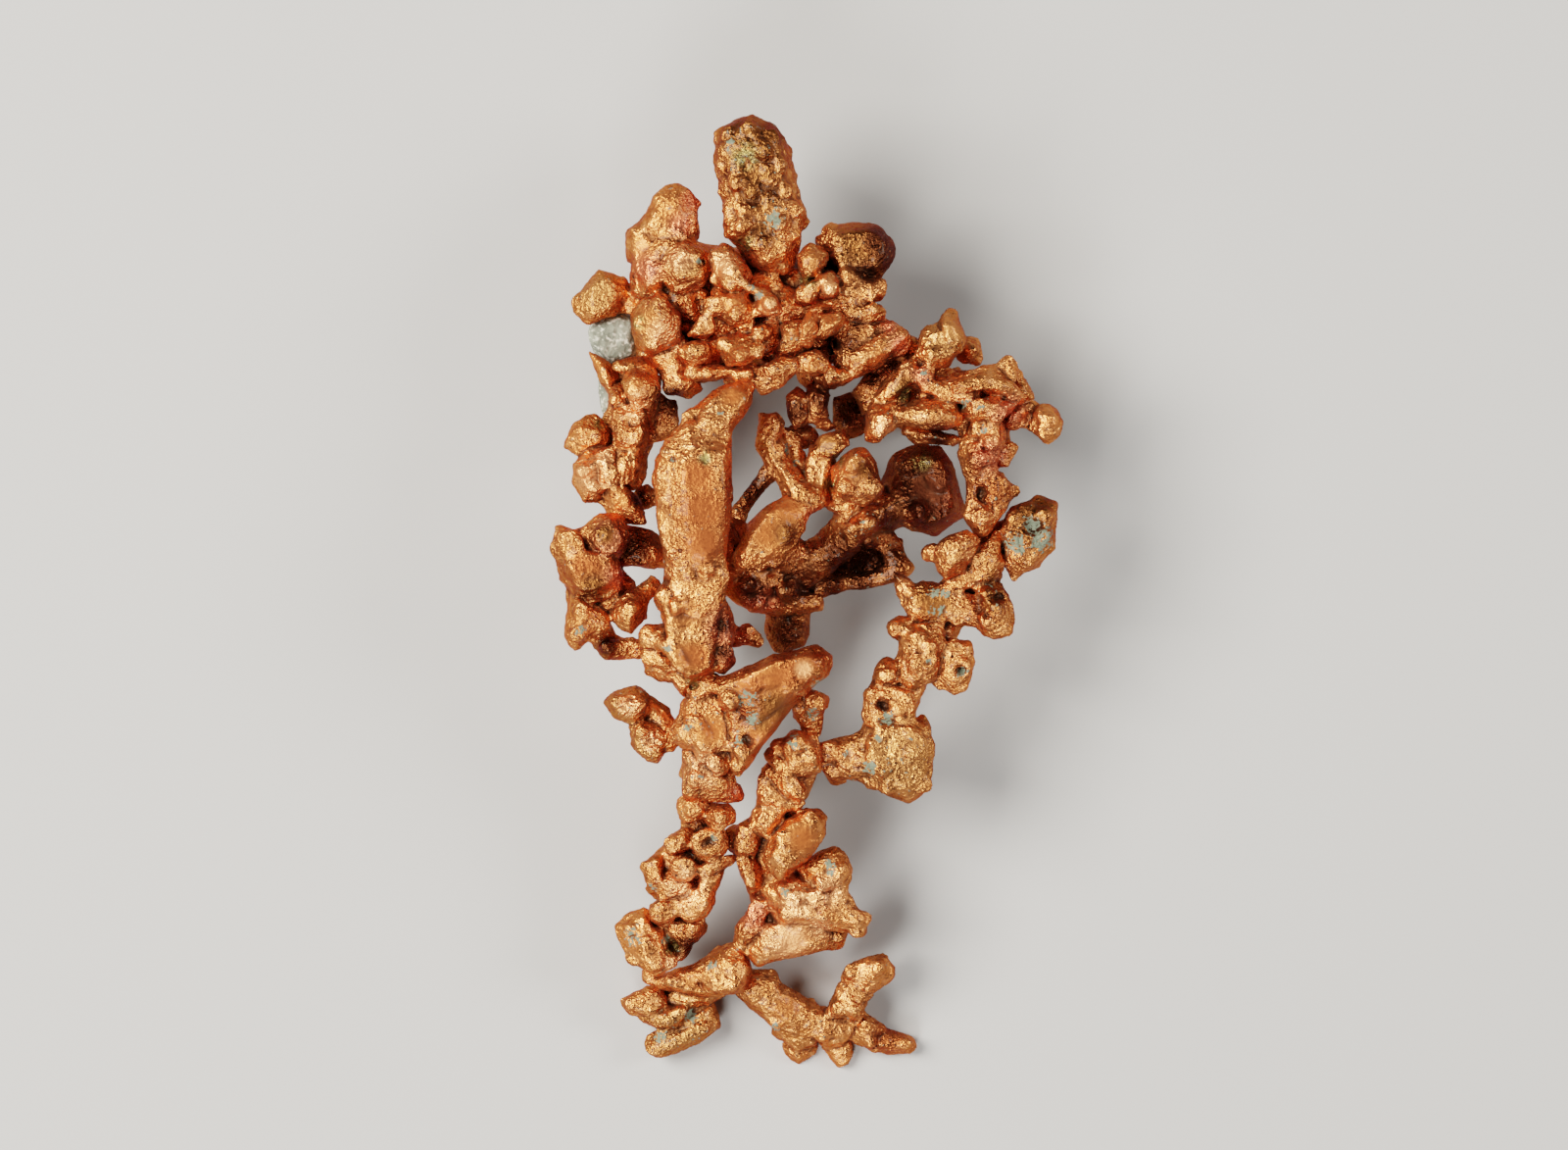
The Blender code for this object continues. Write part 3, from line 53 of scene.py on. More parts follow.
# The shapes of crystals and rods, as shares of their size.
CAP = 0.5  # size of a crystal's front face
FRONT = 0.9  # how much smaller a crystal's front face is cut than in the frame
HEEL = 0.62  # size of its back face
SHOULDER = 0.93  # size of the ring between a crystal's outline and its front face
SHOULDER_RISE = 0.45
ROOT = 2.1  # how deep a crystal of the crowd is rooted, in millimetres
UNEVEN = 0.16
STUBBY = 0.66  # how far out a stubby crystal's corners are
MOST_SLANT = 0.5
ROD_SIDES = 7
ROD_TWIST = 0.3
ROD_TIP = 0.7
ROD_UNEVEN = 0.12
RING_SIDES = 7
SPACED = 0.94  # how much narrower a crystal of the crowd is than in the frame
SUNK = 0.1  # how deep a knob or strand sits in the surface, against its radius
KNOBS_PER_MM2 = 0.36
KNOB_SIZES = (0.16, 0.42)
KNOB_LENGTHS = (0.6, 1.3)
KNOB_WIDTH = 0.9
KNOB_DEPTH = 0.8
KNOB_TURN = 7.0
LOWEST_KNOB = 0.3
KNOB_ROOT = 0.1
ABOVE = 50.0  # from where a ray looks down for the top of a branch

# The growing together and the crumpling.
EASE = 0.5  # how far a round of relaxing moves a vertex towards its neighbours
ROUNDING = 2  # rounds of relaxing after the remesh
FATTEN = 0.02  # how far the surface then moves out
MOST_TRIANGLES = 180000  # of one branch
WARP = ((0.45, 0.16), (1.3, 0.06))  # waves per millimetre and reach of each bend
FACETS = ((0.85, 0.5, 1), (0.36, 0.6, 1))  # size and flatness of the faces, and rounds of relaxing after
APART = 0.55  # how much faces that look different ways keep apart, against their size
MOST_SHIFT = 0.16  # how far a face may be flattened, against its size
ALIKE = (2.0, 0.4)  # how sharply flattening fades where the surface turns away, and where it starts
ROUGH_FACES = 0.7  # how much flatness a rough place loses
PLATES = ((0.5, 0.15), (0.24, 0.22))  # size and lean of the crumpled plates
SEAM = 0.22  # width of the step between two plates, against their size
GRAINS = 0.17  # size of the fine grains
GRAIN_RELIEF = 0.03
SMOOTH_GRAIN = 0.35  # how much of the grain is left where the surface isn't rough
ROUGH_GRAIN = 1.9  # how much a rough place adds
CALM_GRAIN = 0.8  # how much of the grain a flat face loses
SEED_SPREAD = 5.3
FOLDS = (("crease", 16, 0.07), ("hollow", 90, 0.22))  # each fold's width in rounds, and its depth
RIDGE_ROUNDS = 12
RIDGE_RISE = 0.06  # how proud the most worn ridges stand
RIDGE_FROM = 0.3
FOLD_ROUNDS = 2  # rounds that even out a fold's depth
FOLD_KEEPS = 2.0  # how fast flattening fades into a fold
TONE_ROUNDS = 6  # rounds that blend the tones of neighbouring crystals
PIT_REACH = 1.6
PIT_WAVES = 2.6
PIT_WOBBLE = 0.7
PIT_POWER = 1.5
PIT_FACING = 2.0
SPOT_RISE = 1.5  # how fast a spot's strength grows from its rim inwards
CALM_SHARE = 0.3  # what is left of the crumpling on a flat face
HALF_CALM = 0.45  # how flat a calm crystal is against the flat faces

# The view: its width at the middle of the growth, and its middle, in millimetres.
PICTURE_WIDTH = 64.0
PICTURE_MIDDLE = (-1.02, 0.86, 6.6)
LENS = 300.0
SENSOR = 36.0

# Finishes, among them the painted shade, painted shadow and painted highlight colours.
ORANGE = (0.60, 0.175, 0.056)
AMBER = (0.38, 0.115, 0.036)
PALE = (0.66, 0.235, 0.09)
# paler colour of worn ridges: partly wear, partly painted highlight
WORN_HIGHLIGHT = (0.82, 0.32, 0.12)
GOLD_TAN = (0.40, 0.15, 0.05)
SMOOTH = (0.37, 0.080, 0.022)
ROSE = (0.50, 0.12, 0.06)
# painted highlight: the pale colour of faces that catch the light
PAINTED_HIGHLIGHT = (0.78, 0.29, 0.125)
# painted shade: the near black that creases, hollows and pores are darkened towards
PAINTED_SHADE = (0.035, 0.014, 0.007)
DUSK = (0.145, 0.047, 0.0135)
# painted shadow: what the spots that lie in shadow are darkened towards
PAINTED_SHADOW = (0.042, 0.0115, 0.005)
BROWN = (0.26, 0.058, 0.018)
EDGE = (0.55, 0.19, 0.07)
OLIVE = (0.17, 0.13, 0.045)
PATINA = (0.10, 0.135, 0.105)
ROCK = (0.085, 0.10, 0.08)
ROCK_PALE = (0.17, 0.195, 0.165)
ROCK_WHITE = (0.42, 0.45, 0.41)
FLOOR_COLOUR = (0.31, 0.34, 0.37)
FLOOR_HALF = 1.5  # metres
FLOOR_ROUGHNESS = 0.85
SURROUND = (0.035, 0.035, 0.037)
VIEW = ("Filmic", "Medium Contrast", 0.36)

# The copper finish: each noise's waves per millimetre and detail, and where each band starts and is full.
CLOUD = (0.45, 3.0)
FLECK = (3.2, 4.0)
FINE = (7.0, 1.5)
PORES = (2.3, 2.0)
TONE_BAND = (0.4, 1.4)
PALE_BAND = (0.42, 0.72)
RIDGE_BAND = (0.35, 0.8)
# where creases and hollows are painted dark as shade, and how much
CREASE_BAND = (-0.02, 0.34)
CREASE_SHARE = 0.78
HOLLOW_BAND = (0.03, 0.62)
PORE_BAND = (0.73, 0.78)
OLIVE_BAND = (0.35, 0.55)
CRUST_BAND = (3.25, 3.5)
CRUST_MIX = (0.25, 3.0, 2.0)  # how much of the roughness, the fine noise and the flecks make a crust
SPARK_BAND = (0.48, 0.66)
TINTS = (  # the spots' colours from the lowest layer up, each with its share; the top layer is painted highlight
    ("calm", 0.8, SMOOTH), ("brown", 1.0, BROWN), ("golden", 1.0, GOLD_TAN), ("rosy", 1.0, ROSE),
    ("dusky", 1.0, DUSK), ("painted_highlight", 1.0, PAINTED_HIGHLIGHT),
)
DUSKY_WEAR = 0.75  # how much of the paler worn ridges, which are partly painted highlight, the dusky spots hide
# how far the painted shadow spots are darkened
PAINTED_SHADOW_SHARE = 0.95
METAL = 0.97
CALM_DULLS = 0.25
ROUGHNESS = 0.31
ROUGHENS = (0.16, -0.17, 0.17, 0.2, -0.08, 0.4)  # by flecks, sparks, flat faces, creases, ridges, crusts
COAT = 0.08
COAT_ROUGHNESS = 0.16
BUMP = 0.124  # height of the fine noise in millimetres
SPARKLE_BAND = (0.4, 0.6)
SPARKLE = (0.6, 0.8)  # least strength of the fine noise, and what the cloud adds
CALM_BUMP = 0.6  # how much of the fine noise a flat face loses

# The stone.
ROCK_WAVES = 1.5
ROCK_BAND = (0.35, 0.65)
ROCK_GRAINS = 5.0
WHITE_BAND = (0.52, 0.66)
ROCK_ROUGHNESS = 0.8
ROCK_BUMP = 0.08
ROCK_BUMP_STRENGTH = 0.7

# Studio lights: place and side in metres, power in watts, colour.
SOFTBOXES = (
    ("key", (-0.26, 0.07, 0.31), 0.22, 4.7, (1.0, 0.86, 0.72)),
    ("fill", (0.32, 0.05, 0.24), 0.14, 1.1, (1.0, 0.88, 0.76)),
    ("low", (-0.10, -0.31, 0.26), 0.14, 1.6, (1.0, 0.89, 0.78)),
)

# Spots on the growth, as (x, y, radius) seen from above.
FLAT = (
    (-4.3, 3.6, 1.1), (-4.3, 2.2, 0.9), (-4.5, 4.9, 0.8), (-3.1, 8.2, 0.6), (-4.7, -2.3, 0.7),
    (-1.6, 2.6, 1.0), (-0.9, 3.5, 0.8), (0.7, 6.4, 0.5), (5.0, 4.4, 0.9), (4.9, -0.2, 0.5),
    (5.2, -0.4, 0.6), (-1.4, -3.4, 1.0), (-2.6, -3.7, 0.6), (-1.6, -4.9, 1.0), (-1.0, -4.4, 0.8),
    (-2.0, -5.7, 0.7), (-0.2, -2.8, 0.7), (-3.9, -5.4, 0.7), (-0.3, -9.8, 0.8), (-0.6, -14.0, 0.8),
)
CALM = (
    (5.8, 11.0, 0.6), (-5.5, 15.9, 0.9), (-8.6, 12.4, 0.9), (-9.0, 1.2, 0.8), (2.0, 5.2, 0.6),
    (-7.6, 4.0, 0.6), (1.7, 5.2, 0.7), (-6.8, 14.3, 0.6), (-5.0, 13.6, 0.6), (-6.3, 11.1, 0.7),
    (-7.0, 8.6, 0.5), (-8.9, 5.0, 0.6), (-8.2, 2.5, 0.5), (-9.2, -1.2, 0.6), (4.4, -5.8, 0.7),
    (-4.6, -15.7, 0.7), (-1.0, -16.9, 0.7), (-4.9, -0.6, 0.7), (-3.4, 13.5, 0.5), (-3.1, 11.9, 0.6),
    (-1.7, 12.0, 0.4), (-2.9, 10.1, 0.5), (-0.7, 10.6, 0.4), (0.0, 10.9, 0.4), (0.8, 11.1, 0.5),
    (0.2, 9.5, 0.5), (0.2, 13.8, 0.5), (0.8, 12.7, 0.4), (2.8, 10.0, 0.6), (-8.8, 9.7, 0.6),
)
BARE = ((-4.0, 11.0, 2.6), (-1.5, 11.2, 2.8), (0.8, 11.2, 2.6), (-3.0, 14.0, 1.2))
ROUGH = (
    (-2.2, 18.3, 1.7), (-1.9, 15.8, 1.6), (3.6, -6.6, 2.2), (9.3, 2.8, 1.3), (7.6, 0.3, 1.0),
    (-6.6, -6.0, 0.9), (-7.4, -4.4, 1.0), (-5.0, -18.0, 1.4), (-1.2, 10.6, 1.6), (-4.6, -5.0, 1.2),
    (-2.8, 3.9, 0.7), (2.3, 2.9, 1.0), (1.0, 13.0, 0.9),
)
# spots of tint and crust, among them painted shadow and painted highlight spots
TINT_AND_LIGHT_SPOTS = {
    "brown": (
        (-4.3, 3.6, 1.7), (-4.3, 2.2, 1.4), (-4.5, 5.0, 1.1), (-1.5, -4.7, 1.5), (-2.2, -5.9, 0.8),
        (-0.6, -3.0, 1.2), (-2.2, -3.6, 0.9), (0.4, -2.5, 0.7), (-9.0, 1.2, 1.3), (7.1, -0.4, 1.0),
        (3.2, -18.2, 1.1), (-4.4, -2.4, 0.8), (7.3, 4.3, 1.2), (7.2, 5.8, 0.8), (-2.5, -4.8, 0.7),
    ),
    "dusky": (
        (-2.2, 18.4, 1.9), (-2.0, 16.4, 1.4), (9.1, 2.8, 1.2), (-1.9, 14.8, 1.0), (7.5, -0.2, 0.7),
        (4.0, 8.6, 0.8), (2.4, 14.4, 1.3), (0.9, 6.0, 0.6), (-1.9, -5.0, 0.7), (5.2, -0.3, 0.9),
        (9.6, 3.8, 0.8), (2.3, 5.2, 0.7), (2.0, 14.5, 1.2), (-2.8, 19.0, 1.2), (-1.4, 19.0, 1.2),
        (0.8, 6.2, 0.9), (-0.9, 2.6, 0.9), (-8.8, 0.4, 0.9), (-8.3, 2.6, 0.8), (-1.4, -4.4, 1.0),
        (9.0, 3.6, 1.0), (4.9, 0.1, 0.9), (7.6, 0.4, 0.9), (-2.2, 17.4, 1.4),
    ),
    # painted shadow: places that lie in shadow, painted dark
    "painted_shadow": (
        (3.3, 13.9, 1.3), (2.4, 13.3, 0.9), (-3.5, -1.1, 0.65), (-3.4, -2.2, 0.55), (2.0, 11.2, 0.4),
        (2.9, 14.6, 1.1), (2.4, 1.5, 1.8), (1.2, 1.3, 1.0), (1.0, 0.4, 0.8), (2.2, 0.7, 1.1),
        (3.3, 1.0, 0.8), (1.7, 7.6, 1.1), (2.6, 9.0, 0.6), (3.4, 9.6, 0.5), (4.7, 4.5, 2.6),
        (5.0, 3.6, 1.8), (3.3, 3.2, 1.1), (-0.4, 0.6, 1.5), (1.2, 1.8, 1.3), (-0.8, -1.4, 1.3),
        (-2.3, 0.4, 1.0), (3.4, 1.6, 1.0), (-7.0, 2.0, 1.3), (-5.6, 8.2, 0.9), (-6.9, 4.0, 0.6),
        (-0.5, 7.6, 1.0), (0.6, 8.2, 1.2), (-2.4, 4.6, 1.3), (1.6, 10.4, 0.6), (5.3, 6.6, 0.8),
        (-8.2, -2.0, 0.8), (-4.9, -14.3, 0.8),
    ),
    # painted highlight: faces that catch the light, painted bright
    "painted_highlight": (
        (-0.95, -14.0, 1.2), (0.43, -13.5, 0.6), (-3.4, 13.6, 0.7), (-5.8, 10.7, 0.9), (-1.5, 11.7, 0.6),
        (0.75, 12.6, 0.5), (3.1, 6.9, 0.6), (-8.9, 5.0, 1.0), (-8.4, 5.7, 0.6), (-0.4, -12.4, 1.0),
        (0.8, -12.0, 0.9), (-4.4, -6.9, 1.0), (-7.0, 7.8, 0.8), (-5.2, 13.8, 0.7), (-5.0, -11.8, 1.0),
        (-5.5, -15.0, 0.7), (-7.3, -4.3, 0.7), (-6.4, -5.8, 0.6), (-0.2, -2.9, 0.45),
    ),
    "golden": (
        (-7.4, -4.4, 1.5), (-6.5, -6.0, 1.2), (3.8, -6.6, 2.4), (-5.2, -17.9, 2.0), (2.5, 14.3, 1.6),
        (-8.6, 12.4, 1.3), (5.4, 10.6, 1.3), (-5.0, 13.6, 1.0),
    ),
    # a reddish tint; the first two, on the lobe left of the thumb, paint its pinkish highlight
    "rosy": (
        (-4.7, 16.2, 0.7), (-5.2, 15.2, 0.7), (3.3, 11.1, 0.6), (3.7, 10.3, 0.6), (-3.3, -1.2, 1.2),
        (-3.0, -2.3, 0.9), (5.2, 4.0, 1.4), (4.5, 9.0, 0.7), (8.2, 7.6, 1.0), (-2.0, -0.2, 1.1),
        (0.2, 3.3, 0.5), (-8.1, 2.5, 1.0), (-7.8, 0.8, 0.8), (-2.2, -13.0, 1.0), (-6.6, 13.4, 0.9),
        (7.4, 5.8, 1.0), (-2.9, -8.0, 0.6),
    ),
    "olive": (
        (3.9, 8.3, 0.45), (1.2, 5.6, 0.35), (4.6, 5.7, 0.6), (-4.65, -3.4, 0.45), (0.9, 4.6, 0.4),
        (-2.6, 18.0, 0.7), (-2.6, 14.4, 0.5), (-8.5, 7.1, 0.4), (0.0, 12.9, 0.4), (-6.9, 11.2, 0.4),
        (-4.2, 5.7, 0.4), (-5.6, -14.4, 0.5),
    ),
    "patina": (
        (-3.2, 18.6, 0.3), (-1.4, 15.4, 0.5), (-4.45, 13.7, 0.2), (-2.3, 12.7, 0.3), (-2.0, 12.3, 0.3),
        (-3.6, 7.5, 0.25), (-5.5, 5.6, 0.25), (-0.85, 6.1, 0.3), (-0.5, 5.5, 0.3), (2.15, 3.1, 0.2),
        (4.7, 9.2, 0.25), (6.3, 7.9, 0.3), (7.0, 7.8, 0.3), (7.1, 6.9, 0.3), (8.4, 2.2, 0.7),
        (9.5, 2.4, 0.7), (9.1, 3.0, 0.5), (5.1, 0.2, 0.4), (5.6, 0.1, 0.35), (5.3, -0.5, 0.45),
        (4.9, -2.6, 0.25), (6.25, -3.0, 0.35), (3.2, -4.9, 0.45), (2.8, -5.7, 0.25), (2.5, -6.9, 0.4),
        (1.5, -6.3, 0.25), (0.45, -3.55, 0.5), (0.15, -4.7, 0.4), (-0.6, -5.9, 0.5), (-2.5, -4.1, 0.6),
        (-2.3, -4.9, 0.5), (-2.8, -5.9, 0.4), (-4.97, -5.28, 0.25), (-4.45, -7.3, 0.2), (-5.7, -2.07, 0.3),
        (-9.3, -1.3, 0.3), (-3.9, -9.8, 0.25), (-6.4, -11.9, 0.25), (-7.2, -13.9, 0.55), (-5.9, -14.0, 0.3),
        (-1.0, -12.0, 0.3), (0.9, -11.0, 0.5), (-3.9, -15.05, 0.4), (-4.8, -17.2, 0.4), (-6.1, -18.1, 0.4),
        (-1.35, -17.7, 0.3),
    ),
}
KNOBS = {
    "crown": (
        (-3.2, 18.9, 0.4), (-2.4, 19.1, 0.4), (-1.5, 18.8, 0.4), (-3.5, 17.6, 0.35), (-3.0, 17.0, 0.4),
        (-1.9, 18.2, 0.45), (-1.2, 17.6, 0.4), (-0.9, 16.6, 0.4), (-2.4, 16.6, 0.4), (-1.7, 16.2, 0.4),
        (-3.2, 15.9, 0.35), (-2.6, 15.2, 0.4), (-1.2, 15.2, 0.4), (-0.6, 14.8, 0.35), (-1.8, 14.4, 0.4),
        (-3.4, 18.2, 0.4), (-0.5, 15.8, 0.4), (-4.6, 10.05, 0.42), (-4.2, 11.1, 0.4), (-3.5, 10.3, 0.4),
        (-2.9, 9.9, 0.35), (-2.1, 10.1, 0.38), (-2.0, 10.75, 0.35), (-5.3, 10.4, 0.35), (-2.5, 11.1, 0.4),
        (-1.5, 12.0, 0.35), (0.1, 12.6, 0.35), (0.9, 12.5, 0.35), (-4.2, 9.2, 0.28), (-3.6, 9.1, 0.28),
        (-3.0, 9.0, 0.28), (-2.5, 9.15, 0.3), (-2.0, 8.8, 0.3), (-1.5, 9.25, 0.33), (-1.2, 8.8, 0.3),
        (-0.7, 9.4, 0.33), (0.2, 9.4, 0.3), (0.9, 8.8, 0.28), (1.4, 8.95, 0.28), (1.9, 9.2, 0.3),
        (2.9, 12.65, 0.38), (2.4, 12.5, 0.38), (3.3, 11.0, 0.3), (1.6, 11.8, 0.3), (2.6, 11.8, 0.33),
        (1.4, 12.4, 0.3), (-6.0, 11.9, 0.4), (-6.3, 10.4, 0.4), (-3.2, 12.9, 0.45), (-3.0, 11.6, 0.35),
        (-3.6, 14.0, 0.35),
    ),
    "left_flank": (
        (-7.0, 8.6, 0.6), (-7.55, 6.6, 0.38), (-8.2, 6.2, 0.33), (-7.7, 9.4, 0.33), (-7.9, 8.1, 0.3),
        (-6.4, 9.2, 0.35), (-7.0, 7.3, 0.4), (-9.1, 5.2, 0.4), (-8.6, 4.5, 0.35), (-7.7, 4.4, 0.35),
        (-9.3, 6.7, 0.35),
    ),
    "left_cluster": (
        (-9.9, 2.4, 0.35), (-8.3, 2.5, 0.4), (-9.3, -0.6, 0.4), (-9.4, -1.5, 0.4), (-7.2, -0.4, 0.4),
    ),
    "inner_fork": (
        (2.6, 4.6, 0.5), (1.5, 4.6, 0.45), (1.9, 5.6, 0.5), (1.9, 2.8, 0.33), (2.5, 3.1, 0.35),
        (2.9, 3.5, 0.33), (-2.6, 0.6, 0.45), (-2.2, -0.1, 0.45), (-1.0, 0.4, 0.35), (-1.3, 0.9, 0.35),
        (0.3, 2.7, 0.3), (-1.2, 1.6, 0.3), (0.2, -0.2, 0.35), (4.2, 5.4, 0.45), (5.3, 4.8, 0.5),
        (4.6, 3.6, 0.5),
    ),
    "central_blade": (
        (-5.8, 5.9, 0.3), (-5.9, 4.9, 0.3), (-5.8, 3.9, 0.28), (-5.9, 2.9, 0.3), (-5.5, 1.7, 0.3),
        (-5.0, 1.0, 0.35), (-4.2, 1.1, 0.35), (-5.9, 0.1, 0.4), (-5.3, -0.3, 0.4), (-3.6, -0.8, 0.35),
        (-3.5, -1.6, 0.35), (-3.3, -2.3, 0.35), (-3.7, -2.8, 0.3), (-2.4, -1.4, 0.4), (-2.2, -1.8, 0.35),
        (-6.6, -1.4, 0.4),
    ),
    "right_arm": (
        (7.0, 7.9, 0.35), (7.7, 7.5, 0.4), (3.0, 7.4, 0.45), (2.9, 6.9, 0.35), (6.9, 6.9, 0.4),
        (7.5, 6.4, 0.42), (6.9, 5.6, 0.42), (7.4, 5.0, 0.45), (8.0, 4.6, 0.4), (7.2, 3.4, 0.4),
        (8.2, 9.1, 0.35), (9.8, 7.3, 0.4), (9.7, 6.7, 0.35), (5.7, 11.1, 0.35), (5.0, 10.0, 0.4),
        (4.6, 9.0, 0.4), (8.6, 7.4, 0.35), (6.6, 10.1, 0.33),
    ),
    "right_chain": (
        (8.4, 3.2, 0.35), (9.0, 3.6, 0.35), (9.7, 3.4, 0.35), (9.6, 2.6, 0.35), (9.0, 2.4, 0.35),
        (8.5, 1.8, 0.35), (9.0, 1.5, 0.33), (8.3, 2.5, 0.33), (7.3, 0.2, 0.35), (7.7, -0.4, 0.38),
        (7.2, -0.9, 0.38), (8.0, -1.2, 0.35), (6.9, 0.6, 0.3), (3.4, -1.2, 0.35), (4.4, -1.6, 0.38),
        (4.9, -2.0, 0.35), (4.3, -2.6, 0.38), (3.2, -3.1, 0.38), (2.6, -3.9, 0.35), (4.0, -3.9, 0.3),
        (4.2, -4.4, 0.3), (5.9, -2.0, 0.35), (6.3, -3.6, 0.3), (2.4, -7.3, 0.33), (3.2, -7.7, 0.33),
        (3.0, -7.0, 0.33), (1.2, -6.4, 0.3), (2.0, -6.5, 0.33), (4.6, -7.6, 0.45), (4.2, -6.4, 0.38),
        (2.6, -5.9, 0.33), (1.0, -7.1, 0.33), (0.9, -6.1, 0.3),
    ),
    "trunk": (
        (-3.25, -4.2, 0.42), (-3.0, -4.7, 0.35), (-3.8, -6.7, 0.35), (-4.6, -7.4, 0.4), (-3.1, -8.0, 0.4),
        (-3.6, -7.6, 0.35), (-4.8, -7.9, 0.35), (-2.8, -6.2, 0.3), (-2.9, -6.8, 0.3), (0.3, -4.2, 0.5),
        (-4.9, -6.4, 0.3),
    ),
    "left_spur": ((-7.9, -4.2, 0.35), (-7.1, -4.4, 0.4), (-6.8, -5.4, 0.3), (-6.3, -6.2, 0.35)),
    "right_leg": (
        (1.2, -11.2, 0.45), (0.6, -11.6, 0.4), (0.3, -12.3, 0.4), (1.2, -12.2, 0.4), (-0.4, -12.2, 0.4),
        (-1.0, -11.9, 0.35), (1.9, -13.1, 0.35), (0.6, -13.0, 0.35), (-0.4, -6.0, 0.45), (0.1, -6.6, 0.35),
        (-2.1, -12.9, 0.4), (1.2, -13.9, 0.35), (-0.9, -13.0, 0.35),
    ),
    "left_leg": (
        (-4.7, -8.5, 0.45), (-3.6, -8.9, 0.42), (-5.1, -11.05, 0.35), (-5.4, -13.5, 0.35),
        (-4.8, -13.6, 0.35), (-7.3, -13.6, 0.35), (-6.6, -14.2, 0.4), (-6.2, -15.0, 0.33),
        (-4.0, -10.1, 0.3),
    ),
    "left_foot": (
        (-7.3, -16.7, 0.35), (-5.6, -15.7, 0.35), (-4.4, -15.5, 0.35), (-3.2, -15.0, 0.4),
        (-6.3, -18.6, 0.35),
    ),
    "right_foot": (
        (0.6, -18.0, 0.33), (2.4, -17.6, 0.38), (3.2, -18.3, 0.3), (4.0, -18.4, 0.33), (2.6, -18.3, 0.3),
        (2.0, -17.0, 0.35), (1.6, -18.6, 0.3), (-0.4, -18.8, 0.3), (-1.3, -17.5, 0.35), (1.8, -15.4, 0.38),
        (2.9, -15.2, 0.38),
    ),
}
STRANDS = {
    "crown": (((1.9, 9.5, 0.42), (3.0, 10.2, 0.5), (3.8, 10.8, 0.4)), ((-1.2, 9.9, 0.25), (-0.4, 11.1, 0.22)),
              ((-3.9, 12.9, 0.2), (-2.8, 13.0, 0.22), (-2.0, 12.4, 0.2))),
    "left_flank": (((-7.6, 5.2, 0.2), (-6.9, 5.5, 0.2), (-6.4, 6.0, 0.2)),
                   ((-7.6, 5.5, 0.2), (-7.0, 5.9, 0.2), (-6.6, 6.4, 0.18)),
                   ((-7.6, 4.9, 0.2), (-6.9, 5.1, 0.2), (-6.5, 5.5, 0.2))),
    "left_cluster": (((-10.0, 0.75, 0.24), (-9.2, 0.45, 0.26), (-8.3, 0.7, 0.24)),
                     ((-9.9, 0.3, 0.24), (-9.0, -0.05, 0.26), (-8.1, 0.25, 0.24))),
    "central_blade": (
        ((-6.8, -1.6, 0.33), (-6.1, -1.75, 0.33), (-5.4, -2.1, 0.3), (-5.0, -2.8, 0.28)),
        ((-6.7, -2.4, 0.32), (-6.0, -2.5, 0.32), (-5.4, -2.9, 0.3), (-5.1, -3.6, 0.25)),
        ((-6.3, -3.1, 0.3), (-5.7, -3.5, 0.3), (-5.4, -3.9, 0.25)),
    ),
    "inner_fork": (((-1.2, 7.2, 0.22), (-1.6, 6.3, 0.2), (-1.2, 5.3, 0.22), (-0.3, 4.2, 0.25)),),
    "right_arm": (
        ((6.0, 8.7, 0.3), (7.0, 8.9, 0.32), (8.0, 8.6, 0.3), (8.6, 8.1, 0.25)),
        ((3.6, 7.5, 0.38), (4.8, 7.5, 0.4), (6.0, 7.3, 0.33)),
        ((4.6, 8.7, 0.33), (5.6, 8.4, 0.3), (6.6, 8.2, 0.3)),
    ),
    "right_chain": (
        ((4.95, 1.9, 0.28), (4.9, 1.3, 0.22), (5.2, 0.8, 0.25)), ((3.6, -4.9, 0.2), (4.9, -5.4, 0.2)),
        ((7.6, 2.6, 0.25), (7.5, 1.6, 0.25)),
    ),
    "trunk": (((-4.9, -4.9, 0.2), (-4.4, -5.1, 0.22), (-4.05, -5.7, 0.2), (-4.0, -6.2, 0.18)),
              ((-3.9, -3.7, 0.2), (-1.5, -3.4, 0.2), (0.9, -2.4, 0.16))),
    "right_leg": (
        ((-2.0, -7.4, 0.3), (-1.3, -7.9, 0.3), (-0.8, -8.6, 0.25)),
        ((-1.9, -6.8, 0.28), (-1.0, -7.3, 0.3), (-0.3, -8.1, 0.28)),
        ((-1.7, -6.4, 0.28), (-1.2, -6.9, 0.28), (-0.4, -7.4, 0.3)),
        ((-2.6, -9.4, 0.35), (-2.7, -10.4, 0.33)), ((-2.7, -10.7, 0.33), (-2.3, -11.8, 0.3)),
    ),
    "left_leg": (
        ((-4.6, -11.1, 0.2), (-3.3, -10.7, 0.16)), ((-4.4, -11.6, 0.2), (-3.7, -11.35, 0.16)),
        ((-5.6, -12.5, 0.3), (-4.2, -12.0, 0.36)),
        ((-6.3, -10.6, 0.2), (-6.6, -11.1, 0.2), (-6.4, -11.8, 0.2)),
    ),
    "left_foot": (
        ((-7.5, -16.7, 0.28), (-6.4, -17.0, 0.3)), ((-6.8, -17.3, 0.26), (-5.6, -17.5, 0.28)),
        ((-6.3, -18.7, 0.3), (-5.3, -18.2, 0.28), (-4.2, -17.7, 0.28)),
    ),
}
RINGS = {
    "left_cluster": ((-8.25, 2.45, 0.5, 0.16),),
    "right_chain": ((4.9, -2.6, 0.3, 0.13), (6.25, -2.9, 0.35, 0.14)),
    "left_leg": ((-4.1, -10.0, 0.5, 0.17), (-6.05, -12.9, 0.33, 0.14), (-5.1, -11.05, 0.42, 0.12)),
    "crown": ((-5.0, 13.6, 0.5, 0.13),), "right_leg": ((-2.1, -12.9, 0.4, 0.13),),
}
